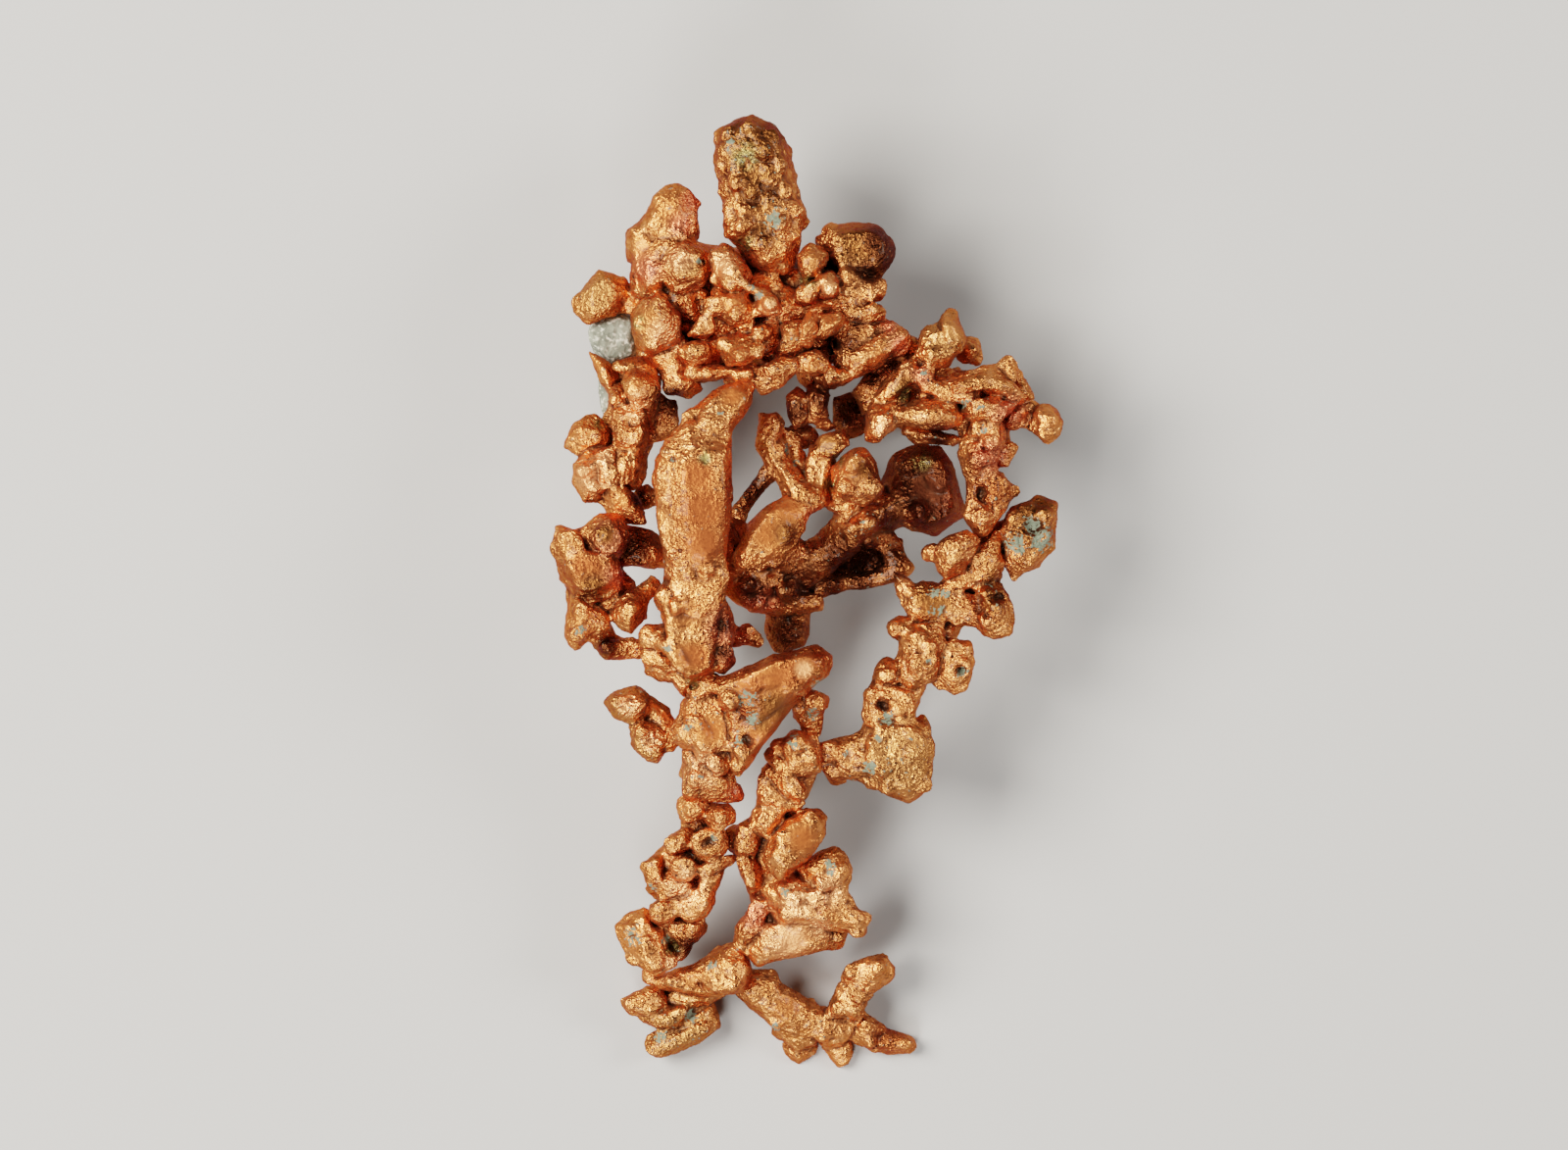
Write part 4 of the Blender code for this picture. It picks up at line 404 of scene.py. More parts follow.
PITS = {
    "crown": (
        (-2.2, 12.2, 0.3, 0.4), (-4.4, 11.9, 0.35, 0.4), (1.1, 10.3, 0.4, 0.8), (-4.45, 13.65, 0.22, 0.3),
    ),
    "central_blade": ((-5.5, 5.6, 0.2, 0.2), (-4.2, 5.6, 0.25, 0.15), (-5.2, 1.9, 0.12, 0.15)),
    "right_arm": ((7.1, 4.2, 0.35, 0.5), (3.9, 8.35, 0.3, 0.4), (6.2, 7.85, 0.3, 0.35)),
    "right_chain": (
        (9.2, 2.9, 0.4, 0.35), (7.7, 0.05, 0.3, 0.4), (6.25, -2.95, 0.3, 0.5), (3.05, -4.35, 0.3, 0.5),
        (7.2, -0.7, 0.25, 0.3),
    ),
    "trunk": ((-4.7, -3.5, 0.3, 0.35), (-2.6, -5.7, 0.3, 0.3), (-4.9, -4.0, 0.2, 0.3)),
    "left_leg": ((-4.05, -10.0, 0.3, 0.3), (-6.4, -13.45, 0.25, 0.3), (-7.2, -13.9, 0.3, 0.25)),
}


def fall(y):
    """How far the growth has dropped towards the surface at this place along it."""
    return UNDER + LEG_FALL * max(0.0, KNEE_Y - y)


def crystal(outline, z, half, lean=(0.0, 0.0), cap=CAP, root=None, aside=0.0):
    """Points of a crystal with this outline, its middle at z, and a front face that leans by these slopes.

    aside is how far the front face sits to the right of the middle."""
    root = root or half
    cap *= FRONT
    count = len(outline)
    middle_x = sum(x for x, y in outline) / count
    middle_y = sum(y for x, y in outline) / count
    z = z - fall(middle_y)
    points = []
    for x, y in outline:
        stray = random.uniform(-UNEVEN, UNEVEN) * half
        across, along = x - middle_x, y - middle_y
        rise = half + lean[0] * across + lean[1] * along - abs(stray)
        points.append((x, y, z + stray))
        points.append((middle_x + SHOULDER * across, middle_y + SHOULDER * along, z + SHOULDER_RISE * rise))
        points.append((middle_x + aside + cap * across, middle_y + cap * along, z + rise))
        points.append((middle_x + HEEL * across, middle_y + HEEL * along, z - root + stray))
    return points


def sprout(outline, z, half, lean=(0.0, 0.0)):
    """A crystal of the crowd at the head, rooted in the mass behind it, with a gap round it."""
    middle = sum((Vector(point) for point in outline), Vector((0.0, 0.0))) / len(outline)
    apart = [middle + SPACED * (Vector(point) - middle) for point in outline]
    return crystal([(x, y) for x, y in apart], z, half, lean, root=ROOT)


def grain(x, y, z, across, along=None, deep=None, turn=0.0):
    """Points of a stubby crystal: a cube whose six faces each rise to a point."""
    along = along or across
    deep = deep or across
    points = [(i * STUBBY, j * STUBBY, k * STUBBY) for i in (-1, 1) for j in (-1, 1) for k in (-1, 1)]
    for i in (-1, 1):
        points += [(i, 0, 0), (0, i, 0), (0, 0, i)]
    slant = random.uniform(-MOST_SLANT, MOST_SLANT)
    placed = []
    for i, j, k in points:
        i, k = i * math.cos(slant) - k * math.sin(slant), i * math.sin(slant) + k * math.cos(slant)
        i, j = i * across, j * along
        turned_x = i * math.cos(turn) - j * math.sin(turn)
        turned_y = i * math.sin(turn) + j * math.cos(turn)
        placed.append((x + turned_x, y + turned_y, z - fall(y) + k * deep))
    return placed


def stem(*stops):
    """Rods from stop to stop, each stop being (x, y, z, radius)."""
    return [rod(first, second) for first, second in zip(stops, stops[1:])]


def rod(first, second):
    """Points of a rod between two stops, pointed past each by part of its radius."""
    ends = [Vector((x, y, z - fall(y))) for x, y, z, radius in (first, second)]
    run = (ends[1] - ends[0]).normalized()
    side = run.orthogonal().normalized()
    other = run.cross(side)
    points = []
    for end, radius, way in ((ends[0], first[3], -1), (ends[1], second[3], 1)):
        points.append(end + run * way * radius * ROD_TIP)
        for index in range(ROD_SIDES):
            angle = math.tau * index / ROD_SIDES + ROD_TWIST * way
            spoke = side * math.cos(angle) + other * math.sin(angle)
            points.append(end + spoke * radius * random.uniform(1 - ROD_UNEVEN, 1 + ROD_UNEVEN))
    return points


def ring(x, y, z, radius, thick):
    """Rods in a ring that lies flat."""
    turns = [math.tau * step / RING_SIDES for step in range(RING_SIDES + 1)]
    return stem(*[(x + radius * math.cos(turn), y + radius * math.sin(turn), z, thick) for turn in turns])


def crown():
    """The head of the growth: the thumb, the lobes beside it and the crowd of crystals below them."""
    return [
        # The mass behind the crowd, and its two lumps that reach the surface.
        crystal([(-6.6, 10.8), (-6.2, 13.2), (-4.6, 14.6), (-0.8, 13.8), (2.4, 13.6), (2.8, 11.2),
                 (1.6, 9.6), (-4.4, 9.5)], z=6.0, half=2.4, cap=0.8),
        crystal([(-6.9, 10.6), (-6.6, 12.6), (-5.2, 14.0), (-3.6, 13.4), (-3.4, 10.6), (-4.6, 9.4),
                 (-6.2, 9.6)], z=2.9, half=2.6, cap=0.85),
        crystal([(-3.2, 11.4), (-2.6, 13.6), (-0.6, 13.4), (0.2, 11.8), (-1.0, 10.2), (-2.4, 10.2)],
                z=3.3, half=2.5, cap=0.8),
        crystal([(0.2, 12.6), (1.6, 13.4), (2.6, 12.2), (2.4, 10.6), (0.8, 10.0), (-0.2, 11.2)],
                z=4.2, half=2.0, cap=0.8),
        # Middling crystals in the hollows of the crowd.
        *[grain(x, y, 8.3, 1.05, 0.9, 1.0, turn=0.7 * x) for x, y in (
            (-3.0, 12.4), (-1.7, 12.4), (-0.9, 11.9), (-3.1, 11.1), (-5.1, 12.2), (0.5, 12.4), (1.7, 12.4),
            (1.9, 10.6), (-1.6, 10.6), (-4.0, 10.0), (-5.6, 10.0))],
        # The thumb: its cap, its lower half and the bumps on it.
        crystal([(-3.9, 18.0), (-3.6, 19.0), (-3.0, 19.45), (-2.2, 19.65), (-1.4, 19.4), (-0.9, 18.5),
                 (-0.5, 17.2), (-0.7, 16.2), (-3.5, 16.3)], z=8.0, half=1.5, cap=0.72),
        crystal([(-3.6, 16.8), (-0.5, 16.6), (-0.2, 15.3), (-0.6, 13.6), (-1.5, 12.8), (-2.4, 13.6),
                 (-3.3, 15.0)], z=8.1, half=1.45, cap=0.66),
        crystal([(-3.9, 18.0), (-3.7, 19.0), (-3.1, 19.45), (-2.2, 19.65), (-1.4, 19.4), (-0.9, 18.6),
                 (-0.5, 17.0), (-0.35, 15.8), (-0.45, 14.4), (-1.3, 13.0), (-2.2, 13.6), (-3.2, 15.0),
                 (-3.45, 16.5)], z=8.0, half=1.45, cap=0.76),
        grain(-0.75, 15.6, 8.3, 0.65, 0.75, 0.9),
        grain(-2.9, 15.2, 8.9, 0.55, 0.7, 0.5),
        grain(-2.4, 18.3, 8.9, 1.0, 0.9, 0.8, turn=0.4),
        # The lobes left of the thumb.
        crystal([(-6.6, 15.9), (-5.9, 16.85), (-5.3, 16.9), (-4.7, 16.2), (-4.4, 15.0), (-4.6, 14.0),
                 (-6.4, 14.2), (-7.2, 14.9)], z=8.1, half=1.2, cap=0.66),
        grain(-5.5, 15.8, 8.2, 1.05, 1.15, 1.2, turn=0.2),
        grain(-6.75, 14.5, 8.0, 0.9, 1.0, 1.1),
        crystal([(-7.3, 13.4), (-7.2, 12.4), (-6.4, 11.9), (-5.5, 12.4), (-4.5, 14.3), (-4.6, 15.4),
                 (-6.0, 15.2), (-7.2, 14.2)], z=8.2, half=1.3),
        grain(-5.05, 13.5, 9.1, 1.1, 1.1, 1.0, turn=0.6),
        crystal([(-8.5, 13.5), (-7.6, 13.1), (-7.2, 12.4), (-8.0, 11.5), (-9.0, 11.1), (-9.6, 11.6),
                 (-9.2, 12.6)], z=7.5, half=1.0, cap=0.66),
        *stem((-8.0, 12.2, 7.4, 0.6), (-6.6, 12.2, 7.4, 0.7)),
        # The crowd, from the left.
        sprout([(-7.3, 11.5), (-6.9, 12.2), (-5.9, 12.4), (-5.1, 11.6), (-5.1, 10.5), (-6.3, 9.9),
                 (-7.1, 10.0)], z=9.2, half=1.25, lean=(0.25, 0.1)),
        sprout([(-4.1, 14.0), (-3.4, 14.6), (-2.9, 14.2), (-2.2, 13.2), (-2.6, 12.6), (-3.9, 12.8)],
                z=9.5, half=1.2, lean=(0.3, -0.2)),
        sprout([(-2.3, 12.6), (-1.8, 12.8), (-1.3, 12.2), (-1.0, 11.6), (-1.4, 11.3), (-2.1, 11.6)],
                z=9.9, half=0.85, lean=(0.35, 0.2)),
        sprout([(-4.1, 12.7), (-2.6, 12.8), (-2.0, 12.0), (-2.1, 11.1), (-2.9, 10.9), (-4.0, 11.6)],
                z=9.3, half=1.1),
        grain(-3.9, 11.9, 10.0, 0.45, turn=0.3),
        sprout([(-5.0, 10.7), (-4.6, 11.3), (-3.9, 11.1), (-4.2, 10.6)], z=9.8, half=0.5),
        grain(-4.6, 10.0, 9.8, 0.65, 0.5, 0.5),
        sprout([(-3.8, 10.5), (-2.9, 10.8), (-2.3, 10.7), (-1.85, 10.1), (-2.6, 9.5), (-3.5, 9.5)],
                z=9.9, half=0.9, lean=(0.1, -0.3)),
        sprout([(-2.4, 10.9), (-1.8, 11.15), (-1.4, 10.9), (-1.5, 10.5), (-2.1, 10.4)], z=9.7, half=0.5),
        sprout([(-1.1, 11.2), (-0.4, 11.3), (-0.3, 10.7), (-0.4, 10.0), (-1.2, 9.8)], z=9.7, half=0.9,
                lean=(0.2, 0.3)),
        sprout([(-0.4, 11.0), (0.0, 11.7), (0.35, 11.5), (0.35, 10.8), (0.0, 10.1), (-0.4, 10.2)],
                z=9.9, half=0.95, lean=(-0.3, 0.2)),
        sprout([(0.25, 11.5), (1.2, 11.65), (1.55, 11.3), (1.2, 10.8), (0.3, 10.5)], z=9.7, half=0.85,
                lean=(0.2, -0.3)),
        sprout([(-0.5, 9.9), (0.5, 10.1), (0.9, 9.7), (0.9, 9.3), (0.0, 8.95), (-0.4, 9.2)],
               z=9.5, half=0.55),
        # The brow, a band of small crystals over the hollow.
        sprout([(-5.0, 9.3), (-4.4, 9.5), (-3.4, 9.4), (-3.5, 8.8), (-4.6, 8.9)], z=9.4, half=0.6),
        sprout([(-3.7, 9.3), (-2.8, 9.4), (-2.2, 9.5), (-2.1, 8.6), (-3.4, 8.9)], z=9.5, half=0.65),
        sprout([(-2.4, 9.3), (-1.3, 9.8), (-0.6, 9.7), (-0.4, 9.2), (-1.2, 8.5), (-2.0, 8.5)],
                z=9.5, half=0.7, lean=(0.1, 0.3)),
        sprout([(0.1, 8.9), (0.8, 9.2), (1.5, 9.35), (2.0, 9.1), (1.4, 8.6), (0.7, 8.5)], z=9.0, half=0.5),
        # The crystals under the thumb and the lump at the right.
        sprout([(-0.5, 14.0), (0.2, 14.5), (0.9, 13.9), (0.4, 13.0), (-0.3, 12.9)], z=9.2, half=0.85),
        grain(-0.1, 12.4, 9.4, 0.55, 0.5, 0.6),
        sprout([(0.25, 13.0), (0.9, 13.35), (1.2, 12.8), (1.1, 12.2), (0.5, 12.1)], z=9.4, half=0.7),
        crystal([(0.2, 14.5), (0.7, 15.1), (1.7, 15.35), (2.9, 15.3), (3.5, 14.6), (3.5, 13.8), (2.9, 13.0),
                 (1.2, 13.0)], z=7.4, half=1.4, cap=0.7),
        sprout([(0.8, 13.9), (1.4, 14.3), (1.8, 13.6), (1.4, 12.9)], z=8.3, half=0.7),
        sprout([(1.9, 12.7), (2.5, 13.05), (3.2, 12.9), (3.1, 12.2), (2.1, 12.1)], z=8.3, half=0.65),
        sprout([(1.1, 12.0), (2.5, 12.1), (3.1, 11.9), (3.1, 11.4), (2.2, 11.1), (1.3, 11.3)],
               z=8.6, half=0.6),
        sprout([(2.1, 11.3), (3.5, 11.35), (3.6, 11.0), (3.0, 10.6), (2.2, 10.7)], z=8.3, half=0.55),
        *stem((1.6, 9.6, 8.6, 0.8), (3.7, 10.5, 8.5, 0.7)),
        grain(4.15, 10.2, 7.6, 0.55),
        # The hanging crystals in the hollow.
        *stem((0.2, 10.0, 7.0, 0.9), (0.1, 8.8, 7.4, 0.55)),
        crystal([(0.0, 8.4), (0.4, 8.8), (0.8, 8.4), (0.8, 7.5), (0.4, 7.0), (0.1, 7.2)], z=8.1, half=0.7),
        crystal([(-1.0, 8.2), (-0.5, 8.6), (0.1, 8.2), (0.0, 7.2), (-0.5, 6.8), (-0.8, 7.4)],
                z=8.0, half=0.7),
        crystal([(0.2, 6.9), (0.5, 7.4), (1.2, 7.1), (0.7, 6.7)], z=7.8, half=0.4),
        crystal([(-6.0, 9.2), (-5.3, 9.5), (-4.6, 9.2), (-4.3, 8.5), (-4.9, 8.2), (-5.7, 8.4)],
                z=8.3, half=0.8),
    ]


def central_blade():
    """The long blade in front, bent back at its top, and the ledged body that it grows from."""
    return [
        crystal([(-6.2, 3.0), (-6.2, 5.2), (-5.9, 6.5), (-4.9, 7.5), (-3.1, 7.0), (-3.4, 5.6), (-3.3, 1.4),
                 (-4.2, 0.4), (-5.6, 0.8), (-5.6, 2.2)],
                z=10.4, half=1.2, lean=(-0.04, 0.0), cap=0.66, aside=0.4),
        crystal([(-4.9, 6.6), (-4.6, 7.9), (-3.8, 8.5), (-3.0, 8.85), (-2.4, 8.75), (-2.3, 8.0), (-2.7, 7.3),
                 (-3.6, 6.2)], z=10.0, half=0.95, lean=(0.0, -0.25), cap=0.7),
        crystal([(-6.2, 0.2), (-5.4, 1.2), (-3.3, 1.3), (-3.4, 0.4), (-3.7, -1.4), (-3.9, -3.1), (-4.8, -3.5),
                 (-5.6, -2.6), (-5.9, -1.0)], z=9.2, half=1.5, lean=(0.0, 0.08), cap=0.95),
        crystal([(-6.4, 0.0), (-6.0, 0.5), (-5.4, 0.4), (-5.3, -0.3), (-5.8, -0.9)], z=9.6, half=0.9),
        crystal([(-6.0, 2.6), (-5.4, 3.0), (-3.4, 2.6), (-3.4, -0.4), (-4.2, -1.2), (-5.5, -0.8),
                 (-5.7, 0.8)], z=9.7, half=1.3, cap=0.85),
        # Ledges down the left side.
        crystal([(-6.95, -1.5), (-6.3, -1.1), (-5.0, -1.0), (-5.0, -1.7), (-6.6, -2.0)], z=9.0, half=1.0),
        crystal([(-6.95, -2.1), (-6.3, -1.9), (-5.0, -2.4), (-5.2, -2.8), (-6.7, -2.6)], z=8.8, half=0.95),
        crystal([(-6.6, -2.9), (-6.0, -2.6), (-5.3, -2.7), (-5.2, -3.3), (-6.2, -3.5)], z=8.5, half=0.8),
        crystal([(-5.9, -2.8), (-5.1, -2.6), (-4.9, -3.6), (-5.1, -4.1), (-5.5, -3.7)], z=8.6, half=0.75),
        # The keel down the right side and the lump at its foot.
        crystal([(-4.1, 0.2), (-3.2, -0.3), (-3.0, -1.2), (-3.2, -2.3), (-3.8, -3.0), (-4.3, -2.6)],
                z=8.7, half=1.3),
        crystal([(-3.8, -2.1), (-3.2, -2.0), (-2.95, -2.5), (-3.4, -3.2), (-3.9, -2.9)], z=9.0, half=0.9),
        crystal([(-3.5, -1.4), (-2.5, -1.1), (-1.9, -1.4), (-2.2, -1.9), (-3.3, -2.0)], z=7.4, half=0.6),
        grain(-4.6, -0.6, 7.4, 1.1, 1.6, 1.0),
        grain(-4.5, 3.6, 9.2, 0.9, 1.6, 0.8),
    ]


def left_flank():
    """The chain of block crystals down the left side, from the crown to the cat-ear cluster."""
    return [
        crystal([(-7.9, 9.4), (-7.5, 9.8), (-6.4, 9.8), (-5.9, 9.3), (-6.3, 8.8), (-7.3, 8.8)],
                z=8.2, half=0.8),
        crystal([(-7.6, 8.9), (-7.2, 9.4), (-6.2, 9.1), (-5.9, 8.5), (-6.5, 7.7), (-7.2, 7.8)],
                z=8.8, half=1.0, lean=(0.1, 0.2)),
        crystal([(-9.0, 10.1), (-8.2, 9.5), (-7.7, 8.8), (-8.0, 8.1), (-8.6, 8.7), (-8.8, 9.3)],
                z=7.6, half=0.7),
        crystal([(-8.2, 8.4), (-7.6, 8.7), (-7.1, 8.2), (-7.6, 7.4), (-8.1, 7.8)], z=8.0, half=0.8),
        crystal([(-8.1, 7.6), (-7.3, 8.0), (-6.6, 7.6), (-6.5, 6.9), (-7.2, 6.7), (-8.0, 6.8)],
                z=8.3, half=0.9, lean=(-0.2, 0.1)),
        crystal([(-8.0, 6.9), (-7.3, 7.1), (-6.6, 7.2), (-6.4, 6.6), (-7.0, 5.9), (-7.9, 6.0)],
                z=8.5, half=0.95, lean=(0.2, 0.1)),
        crystal([(-10.0, 6.1), (-9.5, 7.15), (-8.8, 7.15), (-8.2, 6.9), (-8.2, 6.3), (-9.3, 5.8)],
                z=8.0, half=0.8),
        crystal([(-9.6, 5.5), (-9.0, 6.1), (-8.2, 6.2), (-8.0, 4.8), (-8.3, 4.1), (-9.1, 3.7), (-9.6, 4.7)],
                z=8.2, half=0.95, lean=(-0.1, 0.0)),
        crystal([(-8.6, 6.0), (-7.8, 6.3), (-7.4, 5.0), (-7.9, 4.1), (-8.5, 4.6)], z=8.5, half=0.9),
        crystal([(-7.9, 6.2), (-7.2, 6.2), (-6.5, 6.0), (-6.5, 5.3), (-7.1, 4.9), (-7.8, 5.0)],
                z=8.3, half=0.9),
        crystal([(-7.8, 5.2), (-6.9, 5.5), (-6.5, 5.1), (-6.9, 4.5), (-7.8, 4.5)], z=8.1, half=0.8),
        crystal([(-8.3, 4.4), (-7.6, 4.7), (-6.8, 3.9), (-6.5, 3.05), (-7.2, 3.0), (-8.2, 3.3)],
                z=8.3, half=0.85, lean=(0.1, 0.25)),
        crystal([(-7.2, 4.4), (-6.7, 4.7), (-6.2, 4.4), (-6.2, 3.8), (-7.0, 3.6)], z=6.8, half=0.7),
        # The back of the chain.
        grain(-6.4, 9.8, 7.2, 0.7, 0.6, 0.7),
        *stem((-6.9, 9.0, 7.0, 1.1), (-7.4, 6.8, 6.8, 1.2), (-8.2, 5.0, 6.9, 1.1)),
        grain(-6.3, 7.4, 6.0, 1.0, 1.1, 0.9, turn=0.5),
        grain(-8.2, 6.0, 5.6, 1.0, 0.9, 0.8),
    ]


def left_cluster():
    """The cluster below the flank: an ear, a round boss, the body under them and a foot."""
    return [
        crystal([(-10.35, 2.9), (-10.1, 3.0), (-9.2, 2.6), (-8.9, 1.8), (-10.2, 1.6)], z=8.7, half=0.9,
                lean=(0.2, -0.3)),
        grain(-8.2, 2.55, 9.2, 1.05, 1.0, 0.9, turn=0.35),
        crystal([(-10.35, 2.3), (-9.0, 2.3), (-7.8, 2.0), (-7.5, 1.0), (-7.6, 0.4), (-8.4, -0.2), (-9.6, 0.0),
                 (-10.1, 0.9)], z=8.6, half=1.35, lean=(0.0, 0.1), cap=0.72),
        crystal([(-8.9, -0.3), (-8.0, 0.3), (-7.5, 0.4), (-7.6, -0.1), (-8.2, -0.6)], z=8.2, half=0.7),
        crystal([(-9.7, 0.1), (-8.8, 0.0), (-8.0, -0.8), (-8.5, -1.3), (-9.5, -2.3), (-9.9, -1.9),
                 (-9.95, -1.2)], z=8.3, half=1.1),
        crystal([(-7.9, 3.0), (-6.4, 2.9), (-5.6, 2.1), (-5.5, 1.3), (-6.7, 1.6), (-7.8, 1.2)],
                z=7.6, half=0.9),
        crystal([(-8.7, -2.0), (-8.2, -1.6), (-7.6, -1.6), (-7.6, -2.3), (-8.2, -2.4)], z=7.4, half=0.6),
        *stem((-8.9, -1.0, 7.2, 0.6), (-8.1, -1.9, 7.2, 0.5), (-6.9, -2.1, 7.4, 0.4)),
        crystal([(-8.1, -0.7), (-7.7, 0.0), (-7.2, 0.3), (-6.6, 0.0), (-6.6, -0.7), (-7.3, -1.5)],
                z=8.6, half=0.9, lean=(-0.2, -0.1)),
        *stem((-6.9, 0.0, 8.4, 0.4), (-6.3, 0.5, 8.3, 0.35)),
        *stem((-8.2, 0.6, 7.6, 0.8), (-7.3, -0.6, 8.0, 0.5)),
        grain(-8.8, 1.4, 6.9, 1.1, 1.2, 0.9, turn=0.8),
    ]


def inner_fork():
    """The crystals inside the open middle: the leaf, the two prongs, the round knob and the mass behind."""
    return [
        crystal([(-3.1, 1.7), (-2.4, 3.0), (-1.9, 3.6), (-1.0, 4.2), (0.1, 3.8), (-0.2, 2.6), (-0.6, 1.9),
                 (-2.1, 1.2), (-2.9, 1.1)], z=8.7, half=0.85, lean=(-0.1, 0.1), cap=0.7),
        *stem((-1.4, 7.4, 8.0, 0.55), (-1.7, 6.4, 8.2, 0.52), (-1.35, 5.4, 8.3, 0.52),
              (-0.4, 4.3, 8.4, 0.5)),
        *stem((-0.9, 6.8, 7.6, 0.3), (-0.45, 5.7, 7.8, 0.28), (-0.3, 4.6, 8.2, 0.3)),
        crystal([(0.35, 6.6), (1.4, 7.0), (1.65, 6.4), (1.0, 5.7), (0.1, 5.6)], z=8.4, half=0.7,
                lean=(0.3, -0.2), cap=0.8),
        crystal([(0.0, 6.2), (1.0, 6.0), (0.9, 5.0), (0.5, 4.1), (-0.3, 4.5), (0.0, 5.3)],
                z=8.2, half=0.6, cap=0.7),
        crystal([(-1.0, 4.2), (-0.4, 4.9), (0.5, 4.9), (0.9, 3.9), (0.0, 3.4)], z=8.2, half=0.8),
        crystal([(0.85, 4.6), (0.9, 5.3), (1.7, 6.15), (2.3, 6.3), (2.8, 5.5), (3.1, 4.3), (2.2, 3.8),
                 (1.1, 4.0)], z=9.0, half=1.1, lean=(0.1, 0.15), cap=0.62),
        crystal([(2.5, 3.85), (3.05, 3.75), (3.2, 3.1), (2.6, 2.5), (1.8, 2.1), (1.4, 2.7), (1.9, 3.3)],
                z=7.7, half=0.8),
        *stem((0.6, 4.3, 7.6, 0.6), (1.8, 3.9, 7.4, 0.6), (1.7, 2.7, 6.7, 0.85), (-0.3, 1.1, 5.7, 0.8)),
        # The broad mass behind, which the others grow from.
        *stem((-1.6, 2.3, 7.2, 0.9), (-0.4, 1.0, 5.8, 1.0), (-3.0, 0.6, 6.8, 1.0)),
        grain(-0.85, 0.4, 6.9, 0.5),
        crystal([(-2.6, 0.3), (-1.5, 0.3), (0.6, 0.1), (0.6, -0.6), (-1.2, -0.8), (-2.6, -0.6)],
                z=6.2, half=0.7),
        crystal([(-1.6, 0.0), (0.0, -0.2), (0.1, -1.3), (-0.1, -2.0), (-1.4, -2.3), (-1.8, -1.6)],
                z=5.2, half=0.7),
        *stem((-3.1, 3.2, 5.4, 0.35), (-1.6, 5.0, 5.2, 0.3), (-0.6, 6.6, 6.0, 0.45)),
        crystal([(-3.3, 3.3), (-2.5, 3.1), (-2.2, 2.0), (-3.3, 1.5)], z=6.6, half=0.9),
        crystal([(-3.9, 3.4), (-3.1, 3.1), (-2.6, 1.6), (-2.8, 0.9), (-3.8, 0.9)], z=7.9, half=0.7),
        grain(-0.3, 6.6, 6.6, 0.7, 0.6, 0.7),
        # The dark block at the right and the arc below it.
        crystal([(3.0, 4.8), (3.4, 5.9), (4.5, 6.4), (5.6, 6.1), (6.1, 5.2), (6.5, 3.4), (5.3, 2.5),
                 (3.9, 2.9), (3.0, 3.5)], z=4.8, half=1.7, lean=(0.1, 0.1), cap=0.8),
        *stem((2.2, 3.2, 6.0, 0.8), (3.9, 3.9, 5.0, 0.9)),
        *stem((2.3, 2.9, 5.6, 0.6), (3.4, 2.3, 5.2, 0.5), (3.8, 1.1, 5.4, 0.4), (2.7, 0.8, 5.2, 0.35),
              (1.4, 0.6, 5.2, 0.35), (0.2, 0.3, 5.4, 0.4)),
        crystal([(0.2, 0.9), (1.2, 2.3), (2.6, 2.7), (3.6, 2.2), (3.7, 1.2), (2.8, 0.75), (1.4, 0.5)],
                z=4.2, half=0.45),
    ]


